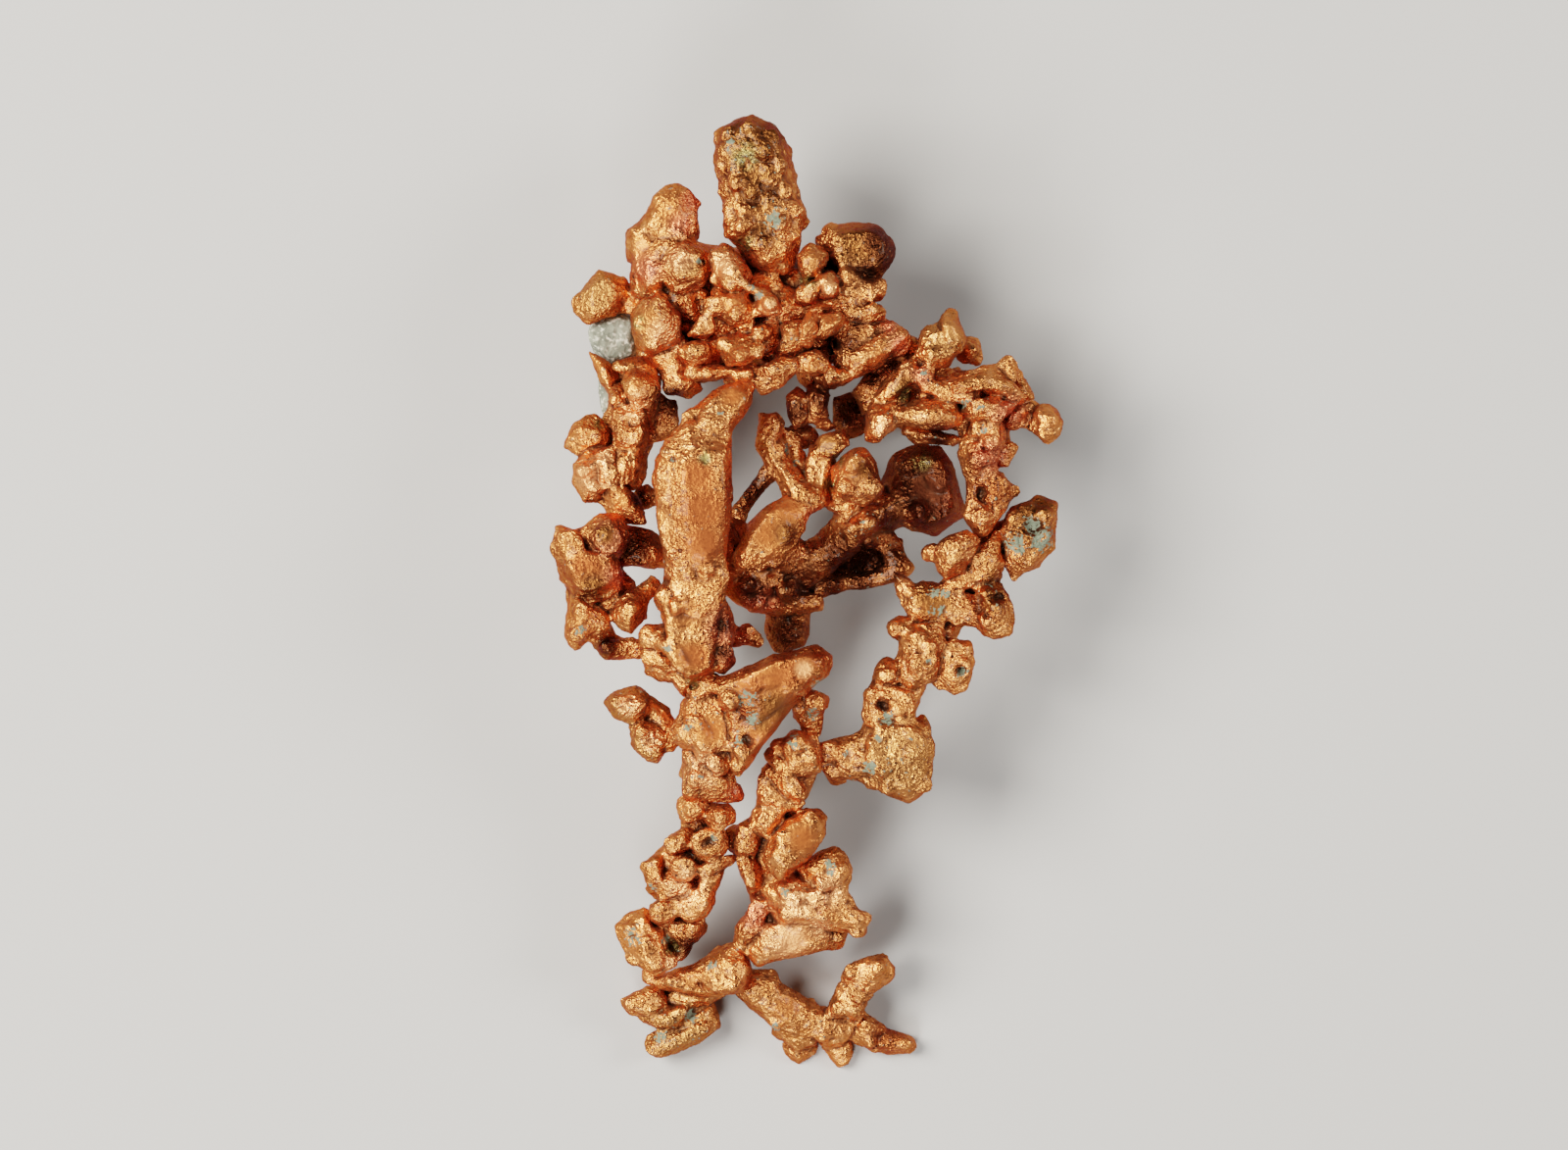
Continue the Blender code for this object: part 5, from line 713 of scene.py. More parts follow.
def right_arm():
    """The arm that leaves the crown at the right and turns down: horn, beams, ridges and knobs."""
    return [
        crystal([(5.3, 11.5), (5.7, 11.85), (6.0, 11.6), (6.45, 10.6), (6.2, 10.0), (5.3, 10.3)],
                z=8.5, half=0.8, lean=(-0.1, -0.2)),
        crystal([(4.2, 9.8), (4.5, 10.9), (5.1, 11.2), (5.7, 11.0), (6.2, 10.2), (5.6, 9.5), (4.8, 9.2)],
                z=8.3, half=0.95, cap=0.7),
        grain(6.5, 10.0, 7.2, 0.5, 0.5, 0.6),
        crystal([(4.3, 9.9), (3.3, 9.1), (2.5, 8.1), (2.9, 7.8), (3.9, 8.3), (4.8, 9.1)], z=8.6, half=0.85),
        crystal([(2.4, 8.0), (2.3, 7.2), (2.3, 6.5), (2.9, 6.3), (3.6, 7.0), (3.6, 8.1)], z=8.7, half=0.85,
                lean=(0.2, -0.1)),
        grain(4.5, 9.0, 8.7, 0.55),
        crystal([(3.5, 7.7), (4.4, 8.1), (5.8, 8.2), (6.2, 7.8), (6.4, 7.1), (5.6, 6.8), (4.5, 6.9),
                 (3.4, 7.1)], z=8.6, half=0.85, lean=(0.0, 0.2)),
        crystal([(3.9, 6.9), (5.3, 6.8), (6.4, 6.5), (5.9, 6.2), (4.2, 6.4)], z=6.9, half=0.7),
        crystal([(4.5, 8.3), (5.2, 9.05), (6.6, 9.1), (7.1, 8.6), (6.9, 8.0), (5.8, 7.8)], z=8.4, half=0.9,
                lean=(0.1, 0.2)),
        crystal([(6.3, 9.0), (7.0, 9.45), (7.6, 9.4), (8.75, 8.2), (8.4, 7.9), (7.2, 8.4)], z=8.5, half=0.7,
                lean=(-0.1, 0.3)),
        grain(8.15, 9.2, 8.2, 0.4),
        crystal([(8.3, 9.1), (9.0, 8.8), (9.3, 8.2), (9.0, 7.8), (8.3, 7.9)], z=7.3, half=0.7),
        crystal([(6.1, 7.7), (6.6, 8.1), (7.8, 8.2), (8.5, 7.8), (7.6, 7.1), (6.8, 7.2)], z=8.6, half=0.8),
        grain(8.5, 7.3, 7.5, 0.6, 0.5, 0.6),
        grain(9.8, 7.1, 7.7, 0.6, 0.78, 0.7),
        *stem((8.4, 7.7, 7.4, 0.6), (9.4, 7.2, 7.3, 0.5)),
        # The chain that runs down from the far end.
        crystal([(6.7, 7.4), (7.4, 7.7), (8.0, 7.1), (8.1, 6.3), (7.5, 5.6), (6.8, 5.9)], z=8.1, half=1.0,
                lean=(0.2, 0.0)),
        crystal([(6.1, 5.8), (6.6, 6.7), (7.8, 6.3), (7.8, 5.5), (7.0, 4.7), (6.4, 4.9)], z=8.0, half=1.0),
        crystal([(7.8, 6.6), (8.65, 6.2), (8.4, 5.7), (7.6, 5.3)], z=7.2, half=0.5),
        crystal([(6.4, 4.9), (7.1, 5.3), (7.9, 5.1), (8.5, 4.3), (8.0, 3.5), (6.6, 3.7)], z=7.8, half=1.0),
        crystal([(6.4, 3.9), (8.1, 3.7), (7.6, 3.0), (7.3, 2.5), (6.8, 2.4), (6.5, 3.1)], z=7.7, half=0.9),
        # The back of the arm, and the stub that it rests on.
        crystal([(3.3, 8.4), (4.2, 9.3), (5.8, 9.0), (6.3, 7.8), (5.2, 7.1), (3.6, 7.3)], z=5.6, half=1.9),
        crystal([(3.4, 8.0), (4.6, 9.6), (6.0, 8.9), (5.9, 7.6), (4.6, 6.7), (3.7, 7.0)], z=2.7, half=1.9,
                lean=(0.2, -0.1), cap=0.7),
        crystal([(2.0, 8.6), (3.2, 9.4), (4.2, 8.6), (3.6, 7.2), (2.4, 7.2)], z=4.3, half=1.4),
        crystal([(1.7, 8.5), (2.4, 9.4), (3.6, 10.1), (4.5, 10.1), (4.3, 9.0), (3.0, 8.0), (2.2, 7.4)],
                z=6.5, half=0.8),
        crystal([(0.9, 7.0), (1.0, 8.3), (1.8, 8.6), (2.6, 8.0), (2.5, 6.8), (1.5, 6.4)], z=5.4, half=0.6),
        *stem((4.6, 8.4, 6.8, 1.3), (7.2, 7.8, 6.9, 1.1), (7.2, 5.6, 6.8, 1.0)),
        grain(5.8, 8.6, 4.8, 1.0, 0.8, 1.1, turn=0.6),
        grain(6.9, 6.9, 5.6, 0.9, 1.0, 0.8),
    ]


def right_chain():
    """The lower half of the right arm: the side lump, the star and the block at its foot."""
    return [
        crystal([(8.2, 3.7), (9.6, 4.2), (10.2, 3.95), (10.0, 2.6), (10.05, 2.1), (9.2, 1.2), (8.5, 0.85),
                 (8.0, 1.3), (7.8, 2.8)], z=7.3, half=1.1, cap=0.7),
        *stem((8.5, 2.6, 7.0, 0.7), (7.2, 2.2, 7.2, 0.6)),
        crystal([(5.2, 1.9), (5.6, 2.5), (6.5, 2.75), (7.0, 2.4), (6.4, 1.1), (5.7, 0.75), (5.3, 1.2)],
                z=8.2, half=0.95),
        grain(5.0, 1.85, 8.0, 0.4, 0.4, 0.4),
        crystal([(6.3, 2.0), (7.7, 2.4), (8.0, 1.5), (7.6, 0.5), (6.5, 0.6)], z=7.6, half=0.8),
        crystal([(3.4, 1.15), (3.9, 1.0), (4.7, 0.3), (4.5, -0.3), (4.0, 0.0)], z=7.5, half=0.6),
        crystal([(4.0, 0.3), (4.8, 0.7), (5.6, 0.6), (5.9, 0.1), (5.5, -1.1), (4.2, -0.9), (3.9, -0.3)],
                z=7.5, half=0.75, cap=0.7),
        crystal([(5.1, 0.5), (6.0, 0.4), (7.1, 0.0), (7.2, -1.2), (6.3, -0.9), (5.3, -0.9)],
                z=7.6, half=0.65),
        *stem((5.6, 0.2, 7.8, 0.35), (6.6, 0.9, 7.9, 0.35)),
        crystal([(6.9, 0.8), (7.9, 0.6), (8.2, 0.0), (8.45, -0.9), (8.2, -1.5), (7.6, -1.75), (6.8, -1.2)],
                z=7.6, half=0.85),
        crystal([(3.0, -1.1), (3.7, -0.7), (4.4, -0.8), (4.1, -1.6), (3.4, -1.7)], z=7.5, half=0.6),
        crystal([(3.7, -1.0), (5.4, -1.0), (5.6, -1.9), (5.3, -3.3), (4.3, -3.7), (3.7, -3.3)],
                z=7.6, half=0.9),
        crystal([(5.2, -1.7), (6.6, -1.7), (6.8, -2.6), (6.5, -3.6), (5.95, -4.0), (5.3, -3.4)],
                z=7.2, half=0.95),
        grain(3.15, -3.0, 7.6, 0.58, 0.6, 0.7),
        crystal([(2.25, -3.8), (2.7, -3.4), (4.4, -3.3), (4.7, -3.8), (4.3, -4.9), (2.15, -5.2)],
                z=7.5, half=0.85),
        crystal([(2.4, -4.6), (3.4, -5.0), (4.9, -5.0), (5.1, -5.4), (5.1, -7.0), (4.7, -8.0), (4.1, -8.35),
                 (2.9, -7.9), (1.8, -6.8)], z=7.8, half=1.3, lean=(-0.05, 0.05), cap=0.76),
        crystal([(0.6, -5.9), (1.8, -5.5), (3.0, -5.2), (3.0, -7.4), (2.1, -7.3), (0.9, -7.3)],
                z=7.7, half=1.0, cap=0.66),
        grain(1.15, -7.25, 7.5, 0.5, 0.45, 0.5),
        crystal([(0.2, -5.95), (1.1, -5.8), (1.3, -6.9), (0.4, -7.0)], z=7.9, half=0.8),
        grain(2.7, -7.6, 7.4, 0.45, 0.35, 0.5),
        # The back of the chain.
        *stem((7.2, 1.6, 6.8, 0.8), (5.8, -0.2, 6.7, 0.8), (4.6, -2.4, 6.7, 0.9), (3.4, -4.6, 6.6, 0.9)),
        grain(3.8, -6.4, 6.2, 1.2, 1.1, 0.8, turn=0.4),
    ]


def trunk():
    """The kite-shaped blade below the middle and the trunk that carries it."""
    return [
        crystal([(-4.0, -3.7), (-2.2, -2.9), (-1.4, -2.3), (0.4, -1.95), (1.0, -2.4), (0.9, -3.1),
                 (-0.4, -4.0), (-2.3, -5.2)], z=9.4, half=1.1, lean=(0.0, 0.3), cap=0.74),
        crystal([(-4.0, -3.7), (-0.9, -3.6), (-0.4, -4.0), (-1.4, -5.5), (-2.3, -6.7), (-2.9, -7.3),
                 (-3.3, -6.2)], z=9.3, half=1.1, lean=(0.1, -0.1), cap=0.7),
        grain(-3.25, -4.15, 10.0, 0.5, 0.5, 0.5),
        crystal([(-5.2, -3.3), (-4.5, -2.9), (-3.6, -3.1), (-3.4, -3.9), (-4.8, -4.5)], z=8.8, half=0.75),
        crystal([(-5.3, -4.1), (-4.2, -3.4), (-3.2, -3.8), (-3.0, -6.4), (-4.4, -6.8), (-5.2, -5.0)],
                z=8.8, half=1.2, cap=0.7),
        crystal([(-5.7, -5.1), (-5.2, -4.85), (-4.5, -4.9), (-4.0, -5.5), (-4.0, -6.3), (-5.0, -6.1),
                 (-5.6, -5.7)], z=9.0, half=1.1),
        crystal([(-5.15, -6.0), (-3.1, -6.0), (-3.05, -7.2), (-3.2, -8.4), (-5.2, -8.2), (-5.1, -7.0)],
                z=8.9, half=1.15),
        crystal([(-4.1, -6.4), (-3.4, -6.4), (-3.3, -7.1), (-3.7, -7.3)], z=9.9, half=0.5),
        grain(-3.1, -8.0, 8.8, 0.5, 0.5, 0.6),
        # The standing knob right of the kite, and its stem.
        grain(0.3, -4.25, 8.3, 0.65, 0.5, 0.6, turn=0.2),
        *stem((-0.6, -3.6, 8.2, 0.6), (0.2, -4.6, 7.9, 0.45)),
        *stem((0.25, -4.5, 8.0, 0.45), (0.2, -5.65, 8.1, 0.42)),
        # The back of the trunk.
        *stem((-1.8, -3.6, 7.6, 0.9), (-4.2, -4.6, 7.6, 1.1), (-4.2, -7.4, 8.0, 1.0)),
        grain(-3.2, -5.2, 7.2, 1.1, 1.2, 0.8, turn=0.3),
    ]


def left_spur():
    """The two lumps on a short stalk left of the trunk."""
    return [
        crystal([(-8.4, -4.2), (-8.0, -3.85), (-7.3, -3.6), (-6.7, -3.8), (-6.5, -4.8), (-7.0, -5.2),
                 (-7.9, -4.9)], z=7.7, half=0.9, lean=(-0.1, 0.1), cap=0.68),
        crystal([(-7.3, -5.3), (-6.9, -4.9), (-6.1, -5.1), (-5.8, -5.8), (-6.1, -6.8), (-6.6, -6.7),
                 (-7.2, -6.1)], z=8.2, half=0.85, cap=0.7),
        *stem((-6.8, -4.3, 7.6, 0.5), (-6.0, -4.9, 7.8, 0.5), (-5.6, -6.0, 8.4, 0.5)),
    ]


def right_leg():
    """The rope of twisted crystals, the oval crystal beside it and the broad mass at the shin."""
    return [
        crystal([(-1.35, -6.1), (-0.5, -5.3), (0.1, -5.6), (0.55, -6.2), (0.6, -7.2), (-0.9, -7.4)],
                z=8.6, half=1.0, cap=0.64),
        crystal([(-1.8, -6.4), (-1.4, -6.2), (-0.5, -7.0), (-0.6, -7.6), (-1.1, -7.5)], z=8.7, half=0.9),
        crystal([(-2.0, -7.0), (-1.6, -6.8), (-0.2, -7.6), (0.0, -8.0), (-0.4, -8.5), (-1.1, -8.2)],
                z=8.8, half=0.95, lean=(0.1, -0.1)),
        crystal([(-2.1, -7.3), (-1.5, -7.6), (-0.6, -8.5), (-1.1, -8.9), (-2.1, -8.5)], z=8.8, half=0.95),
        crystal([(-2.3, -8.8), (-1.8, -8.2), (-1.0, -8.6), (-1.0, -9.1), (-1.7, -9.9), (-2.4, -9.6)],
                z=8.8, half=0.9),
        crystal([(-1.9, -10.65), (-1.6, -9.8), (-0.95, -9.1), (-0.15, -8.7), (0.55, -8.65), (0.85, -8.9),
                 (0.7, -9.65), (0.15, -10.45), (-1.1, -11.6)], z=9.2, half=0.95, lean=(-0.1, 0.1), cap=0.74),
        crystal([(-3.0, -9.4), (-2.4, -9.1), (-1.9, -9.8), (-2.2, -10.6), (-3.05, -10.5)], z=8.9, half=0.8),
        crystal([(-3.0, -10.4), (-2.2, -10.3), (-1.8, -11.2), (-2.0, -12.0), (-2.4, -12.3), (-2.9, -11.3)],
                z=8.9, half=0.85),
        crystal([(-0.5, -10.9), (0.5, -10.35), (1.1, -10.05), (1.5, -10.5), (1.7, -11.1), (1.55, -12.2),
                 (0.4, -12.6)], z=8.9, half=0.95),
        crystal([(-2.2, -11.8), (-1.2, -11.0), (0.6, -11.4), (1.8, -12.4), (2.5, -13.2), (2.2, -13.7),
                 (1.4, -13.4), (-1.2, -13.4)], z=9.0, half=1.1, cap=0.7),
        crystal([(-2.6, -14.6), (-2.0, -13.2), (0.2, -13.0), (1.2, -13.3), (1.0, -14.4), (0.2, -14.6),
                 (-1.2, -14.9), (-2.2, -15.1)], z=8.9, half=1.0, lean=(0.0, 0.3), cap=0.7),
        crystal([(0.8, -13.2), (1.55, -13.4), (1.5, -14.4), (0.9, -14.5)], z=8.6, half=0.6),
        crystal([(-3.0, -13.5), (-2.1, -12.1), (-1.4, -12.3), (-1.6, -13.9), (-2.8, -14.3)],
                z=8.7, half=0.9),
        *stem((-0.3, -6.4, 7.9, 1.0), (-1.4, -9.0, 8.0, 0.8), (-1.8, -11.0, 8.2, 0.9),
              (-1.2, -13.2, 8.2, 1.0)),
        grain(0.3, -12.2, 8.1, 1.1, 1.0, 0.8),
        grain(-3.0, -9.9, 8.5, 0.5, 0.6, 0.6),
    ]


def left_leg():
    """The loose column of crescents, discs and shards on the left, down to the bulge at the ankle."""
    return [
        crystal([(-5.5, -8.3), (-5.0, -7.9), (-4.1, -8.2), (-4.2, -8.9), (-5.0, -9.2), (-5.4, -8.8)],
                z=8.9, half=0.9),
        crystal([(-4.3, -8.8), (-4.0, -8.4), (-3.3, -8.35), (-2.9, -8.8), (-3.0, -9.3), (-4.0, -9.5)],
                z=9.1, half=0.85),
        grain(-4.05, -10.0, 9.2, 0.75, 0.72, 0.8, turn=0.3),
        crystal([(-5.9, -10.0), (-5.3, -9.45), (-4.7, -9.4), (-4.6, -10.1), (-5.7, -10.5)], z=9.0, half=0.7),
        crystal([(-6.75, -11.0), (-6.4, -10.5), (-5.9, -10.3), (-6.1, -12.0), (-6.7, -11.7)],
                z=8.6, half=0.8),
        grain(-5.15, -11.0, 9.4, 0.6, 0.5, 0.5, turn=0.5),
        crystal([(-6.4, -11.7), (-5.8, -11.1), (-4.6, -11.5), (-4.7, -12.1), (-6.2, -12.5)],
                z=8.9, half=0.8),
        crystal([(-4.7, -11.1), (-3.2, -10.55), (-3.1, -10.85), (-4.4, -11.5)], z=9.3, half=0.6),
        crystal([(-4.6, -11.5), (-3.8, -11.15), (-3.5, -11.4), (-4.1, -11.9)], z=9.2, half=0.55),
        crystal([(-5.7, -12.6), (-4.3, -11.7), (-3.8, -11.9), (-3.9, -12.5), (-4.3, -13.1), (-5.2, -13.3)],
                z=9.4, half=0.8, lean=(0.1, 0.2)),
        grain(-6.05, -12.9, 9.3, 0.58, 0.5, 0.6),
        crystal([(-5.7, -13.8), (-5.3, -13.2), (-4.3, -12.9), (-4.1, -13.6), (-4.4, -14.2), (-5.2, -14.3)],
                z=8.8, half=0.8),
        crystal([(-5.7, -14.0), (-4.6, -14.2), (-4.9, -14.8), (-5.5, -15.1)], z=8.5, half=0.6),
        crystal([(-7.95, -13.5), (-7.5, -13.0), (-6.8, -12.65), (-6.0, -13.5), (-5.5, -14.9), (-6.1, -15.5),
                 (-7.1, -14.95), (-7.7, -14.3)], z=8.8, half=1.0, lean=(0.1, 0.0), cap=0.7),
        *stem((-4.6, -8.8, 8.1, 0.7), (-4.4, -10.2, 8.2, 0.7), (-5.2, -12.0, 8.2, 0.8),
              (-5.8, -13.8, 8.2, 0.8)),
        *stem((-5.9, -12.2, 8.1, 0.5), (-6.3, -11.3, 8.2, 0.5), (-5.2, -10.1, 8.4, 0.5)),
    ]


def left_foot():
    """The bar across the ankles and the ledged foot under it, with one flat crystal face on the surface."""
    return [
        crystal([(-6.3, -15.7), (-5.3, -15.2), (-4.4, -15.1), (-4.0, -16.5), (-5.0, -16.4), (-6.2, -16.1)],
                z=8.6, half=0.85, cap=0.7),
        crystal([(-4.7, -15.1), (-3.9, -14.7), (-2.8, -13.9), (-2.2, -15.1), (-2.6, -16.2), (-4.2, -16.5)],
                z=8.7, half=0.9, lean=(0.1, -0.1), cap=0.7),
        crystal([(-7.7, -16.6), (-7.2, -16.2), (-6.0, -15.9), (-5.8, -16.9), (-6.4, -17.3), (-7.4, -17.25)],
                z=8.2, half=0.85),
        crystal([(-6.9, -17.3), (-6.0, -16.8), (-4.9, -16.8), (-5.0, -17.7), (-5.7, -18.0)],
                z=8.2, half=0.85),
        crystal([(-6.5, -18.0), (-5.1, -17.3), (-3.85, -16.7), (-3.65, -17.7), (-4.6, -18.45), (-5.4, -18.65),
                 (-6.2, -19.05), (-6.6, -18.75)], z=8.1, half=0.9, lean=(0.0, 0.1), cap=0.72),
        grain(-6.5, -15.5, 8.4, 0.4, 0.4, 0.5),
        crystal([(-6.0, -17.4), (-5.6, -16.4), (-4.2, -16.2), (-3.9, -17.5), (-5.0, -18.1)], z=7.2, half=1.2,
                cap=0.7),
        *stem((-5.8, -16.8, 7.6, 0.7), (-3.6, -15.6, 7.8, 0.8)),
    ]


def right_foot():
    """The rod to the right foot, its fork and its toes, with one flat crystal face on the surface."""
    return [
        *stem((-2.5, -15.8, 8.2, 0.8), (-0.5, -17.4, 8.1, 0.9), (1.7, -17.6, 8.0, 0.65)),
        crystal([(-1.6, -18.0), (-0.9, -17.0), (0.2, -17.1), (0.3, -18.5), (-0.5, -18.7)], z=8.0, half=0.8),
        crystal([(-1.2, -18.4), (-0.4, -18.3), (0.3, -18.4), (0.25, -18.9), (-0.5, -19.3), (-1.0, -18.9)],
                z=7.6, half=0.6),
        crystal([(0.7, -17.2), (1.3, -15.8), (1.9, -15.7), (2.9, -16.1), (2.3, -16.6), (1.8, -17.4)],
                z=8.2, half=0.8),
        crystal([(1.25, -15.6), (1.8, -15.0), (2.45, -14.7), (3.15, -14.7), (3.6, -15.1), (3.5, -15.6),
                 (2.7, -16.2), (1.8, -16.1)], z=8.2, half=0.8, lean=(0.1, 0.1)),
        crystal([(1.7, -17.2), (2.2, -16.8), (2.8, -17.3), (3.2, -17.8), (2.6, -18.7), (1.8, -18.3)],
                z=8.0, half=0.8),
        crystal([(2.6, -17.6), (3.2, -17.7), (4.4, -18.15), (4.5, -18.5), (4.2, -18.85), (2.5, -18.75)],
                z=7.8, half=0.65),
        crystal([(0.5, -18.3), (1.8, -18.1), (1.85, -18.9), (1.7, -19.3), (1.1, -19.5), (0.8, -19.1)],
                z=7.7, half=0.7),
        crystal([(0.1, -17.8), (0.7, -17.0), (1.9, -17.1), (2.3, -18.0), (1.4, -18.7), (0.5, -18.6)],
                z=7.3, half=1.3, cap=0.7),
    ]


def matrix_stone():
    """The slab of granular host rock wedged at the left shoulder, which runs on behind the flank."""
    return [
        crystal([(-9.05, 11.0), (-8.8, 11.2), (-7.6, 11.7), (-7.0, 11.4), (-6.9, 9.8), (-8.2, 9.3),
                 (-8.9, 10.2)], z=6.5, half=0.9, cap=0.85),
        crystal([(-8.4, 9.9), (-7.4, 10.0), (-7.4, 7.6), (-8.1, 7.2), (-8.5, 7.6), (-8.6, 8.8)],
                z=5.6, half=0.7),
        grain(-8.2, 10.5, 6.9, 0.6, 0.5, 0.6),
        grain(-7.9, 8.8, 5.2, 0.7, 0.8, 0.6, turn=0.4),
    ]


def lump_shape(points):
    """The closed solid round these points, cut off flat where it would reach below the floor."""
    shape = bmesh.new()
    for point in points:
        x, y, z = point
        shape.verts.new((x - CENTRE_X, y - CENTRE_Y, z))
    bmesh.ops.convex_hull(shape, input=shape.verts)
    inner = [vert for vert in shape.verts if not vert.link_faces]
    bmesh.ops.delete(shape, geom=inner, context="VERTS")
    if min(vert.co.z for vert in shape.verts) < 0.0:
        whole = shape.verts[:] + shape.edges[:] + shape.faces[:]
        cut = bmesh.ops.bisect_plane(shape, geom=whole, plane_co=(0, 0, 0), plane_no=(0, 0, -1),
                                     clear_outer=True)
        rim = [edge for edge in cut["geom_cut"] if isinstance(edge, bmesh.types.BMEdge)]
        bmesh.ops.holes_fill(shape, edges=rim)
    bmesh.ops.recalc_face_normals(shape, faces=shape.faces)
    return shape


def crowd_of(lumps):
    """All the lumps in one bmesh, with each lump's number as its faces' material index."""
    crowd = bmesh.new()
    mesh = bpy.data.meshes.new("lump")
    for number, points in enumerate(lumps):
        shape = lump_shape(points)
        for face in shape.faces:
            face.material_index = number
        shape.to_mesh(mesh)
        crowd.from_mesh(mesh)
        shape.free()
    bpy.data.meshes.remove(mesh)
    return crowd


def grown_together(crowd):
    """One fine closed mesh round the whole crowd."""
    rough = bpy.data.meshes.new("crowd")
    crowd.to_mesh(rough)
    return applied(rough, "REMESH", mode="VOXEL", voxel_size=VOXEL)


def applied(mesh, kind, **settings):
    """The mesh after one modifier of this kind, in place of the mesh given."""
    thing = bpy.data.objects.new("work", mesh)
    bpy.context.scene.collection.objects.link(thing)
    change = thing.modifiers.new("change", kind)
    for key, value in settings.items():
        setattr(change, key, value)
    graph = bpy.context.evaluated_depsgraph_get()
    result = bpy.data.meshes.new_from_object(thing.evaluated_get(graph))
    bpy.data.objects.remove(thing, do_unlink=True)
    bpy.data.meshes.remove(mesh)
    return result


def thinned(mesh):
    """The mesh with its flattest triangles merged where it has too many."""
    count = sum(len(face.vertices) - 2 for face in mesh.polygons)
    if count <= MOST_TRIANGLES:
        return mesh
    return applied(mesh, "DECIMATE", ratio=MOST_TRIANGLES / count)


def places_of(mesh):
    """Where each vertex is, one row a vertex."""
    places = np.empty(len(mesh.vertices) * 3, np.float32)
    mesh.vertices.foreach_get("co", places)
    return places.reshape(-1, 3).astype(float)


def move_to(mesh, places):
    """Moves each vertex to its row's place."""
    mesh.vertices.foreach_set("co", places.astype(np.float32).ravel())
    mesh.update()


def normals_of(mesh):
    """Which way each vertex faces, one row a vertex."""
    normals = np.empty(len(mesh.vertices) * 3, np.float32)
    mesh.vertex_normals.foreach_get("vector", normals)
    return normals.reshape(-1, 3).astype(float)


def edges_of(mesh):
    """The two vertices of each edge, one row an edge."""
    edges = np.empty(len(mesh.edges) * 2, np.int32)
    mesh.edges.foreach_get("vertices", edges)
    return edges.reshape(-1, 2)


def relaxed(values, edges, rounds):
    """The values, one row a vertex, after that many rounds of moving towards their neighbours' mean."""
    values = values.reshape(len(values), -1).copy()
    ends = np.concatenate([edges[:, 0], edges[:, 1]])
    others = np.concatenate([edges[:, 1], edges[:, 0]])
    count = np.bincount(ends, minlength=len(values))[:, None]
    for _ in range(rounds):
        mean = np.empty_like(values)
        for axis in range(values.shape[1]):
            mean[:, axis] = np.bincount(ends, weights=values[others, axis], minlength=len(values))
        values += EASE * (mean / count - values)
    return values


def cover(spots, places):
    """How strongly the round spots (x, y, radius) cover each place as seen from above, from 0 to 1."""
    found = np.zeros(len(places))
    for x, y, radius in spots:
        away = np.hypot(places[:, 0] + CENTRE_X - x, places[:, 1] + CENTRE_Y - y) / radius
        found = np.maximum(found, np.clip(SPOT_RISE * (1.0 - away), 0.0, 1.0))
    return found


def plates(place, size, lean):
    """Height at this place of a face crumpled into plates of this size, each leaning its own way."""
    spot = place / size
    away, seeds = noise.voronoi(spot)
    first, second = (noise.noise_vector(seed * SEED_SPREAD).dot(spot - seed) for seed in seeds[:2])
    step = min(1.0, (away[1] - away[0]) / SEAM)
    return lean * size * (first * (1 + step) + second * (1 - step)) / 2


def warp(mesh):
    """Bends the mesh a little this way and that."""
    places = places_of(mesh)
    for index, (x, y, z) in enumerate(places):
        for waves, reach in WARP:
            places[index] += noise.noise_vector(Vector((x, y, z)) * waves) * reach
    move_to(mesh, places)


def facet(mesh, edges, size, flatness, rounds):
    """Flattens the mesh into plane faces of about this size. flatness is a number for each vertex."""
    places, normals = places_of(mesh), normals_of(mesh)
    count = max(1, int(len(places) * (VOXEL / size) ** 2))
    spots = places + normals * size * APART
    seeds = KDTree(count)
    for number, index in enumerate(random.sample(range(len(places)), count)):
        seeds.insert(spots[index], number)
    seeds.balance()
    face = np.array([seeds.find(spot)[1] for spot in spots])
    middles, ways = (np.array([np.bincount(face, weights=axis, minlength=count) for axis in values.T]).T
                     for values in (places, normals))
    middles /= np.bincount(face, minlength=count)[:, None]
    ways /= np.linalg.norm(ways, axis=1)[:, None]
    away = ((places - middles[face]) * ways[face]).sum(axis=1)
    alike = np.clip((normals * ways[face]).sum(axis=1) * ALIKE[0] - ALIKE[1], 0.0, 1.0)
    away = np.clip(away, -MOST_SHIFT * size, MOST_SHIFT * size)
    places -= (flatness * away * alike)[:, None] * ways[face]
    move_to(mesh, relaxed(places, edges, rounds))


def crumple(mesh, calm, rough):
    """Crumples and grains the mesh. calm and rough are 0 to 1 for each vertex."""
    places, normals = places_of(mesh), normals_of(mesh)
    for index, (x, y, z) in enumerate(places):
        place = Vector((x, y, z))
        height = sum(plates(place, size, lean) for size, lean in PLATES)
        height *= 1.0 - (1.0 - CALM_SHARE) * calm[index]
        pebble = 0.5 - noise.voronoi(place / GRAINS)[0][0]
        relief = GRAIN_RELIEF * (SMOOTH_GRAIN + ROUGH_GRAIN * rough[index])
        height += pebble * relief * (1.0 - CALM_GRAIN * calm[index])
        places[index] += normals[index] * height
    places[:, 2] = np.maximum(places[:, 2], 0.0)
    move_to(mesh, places)


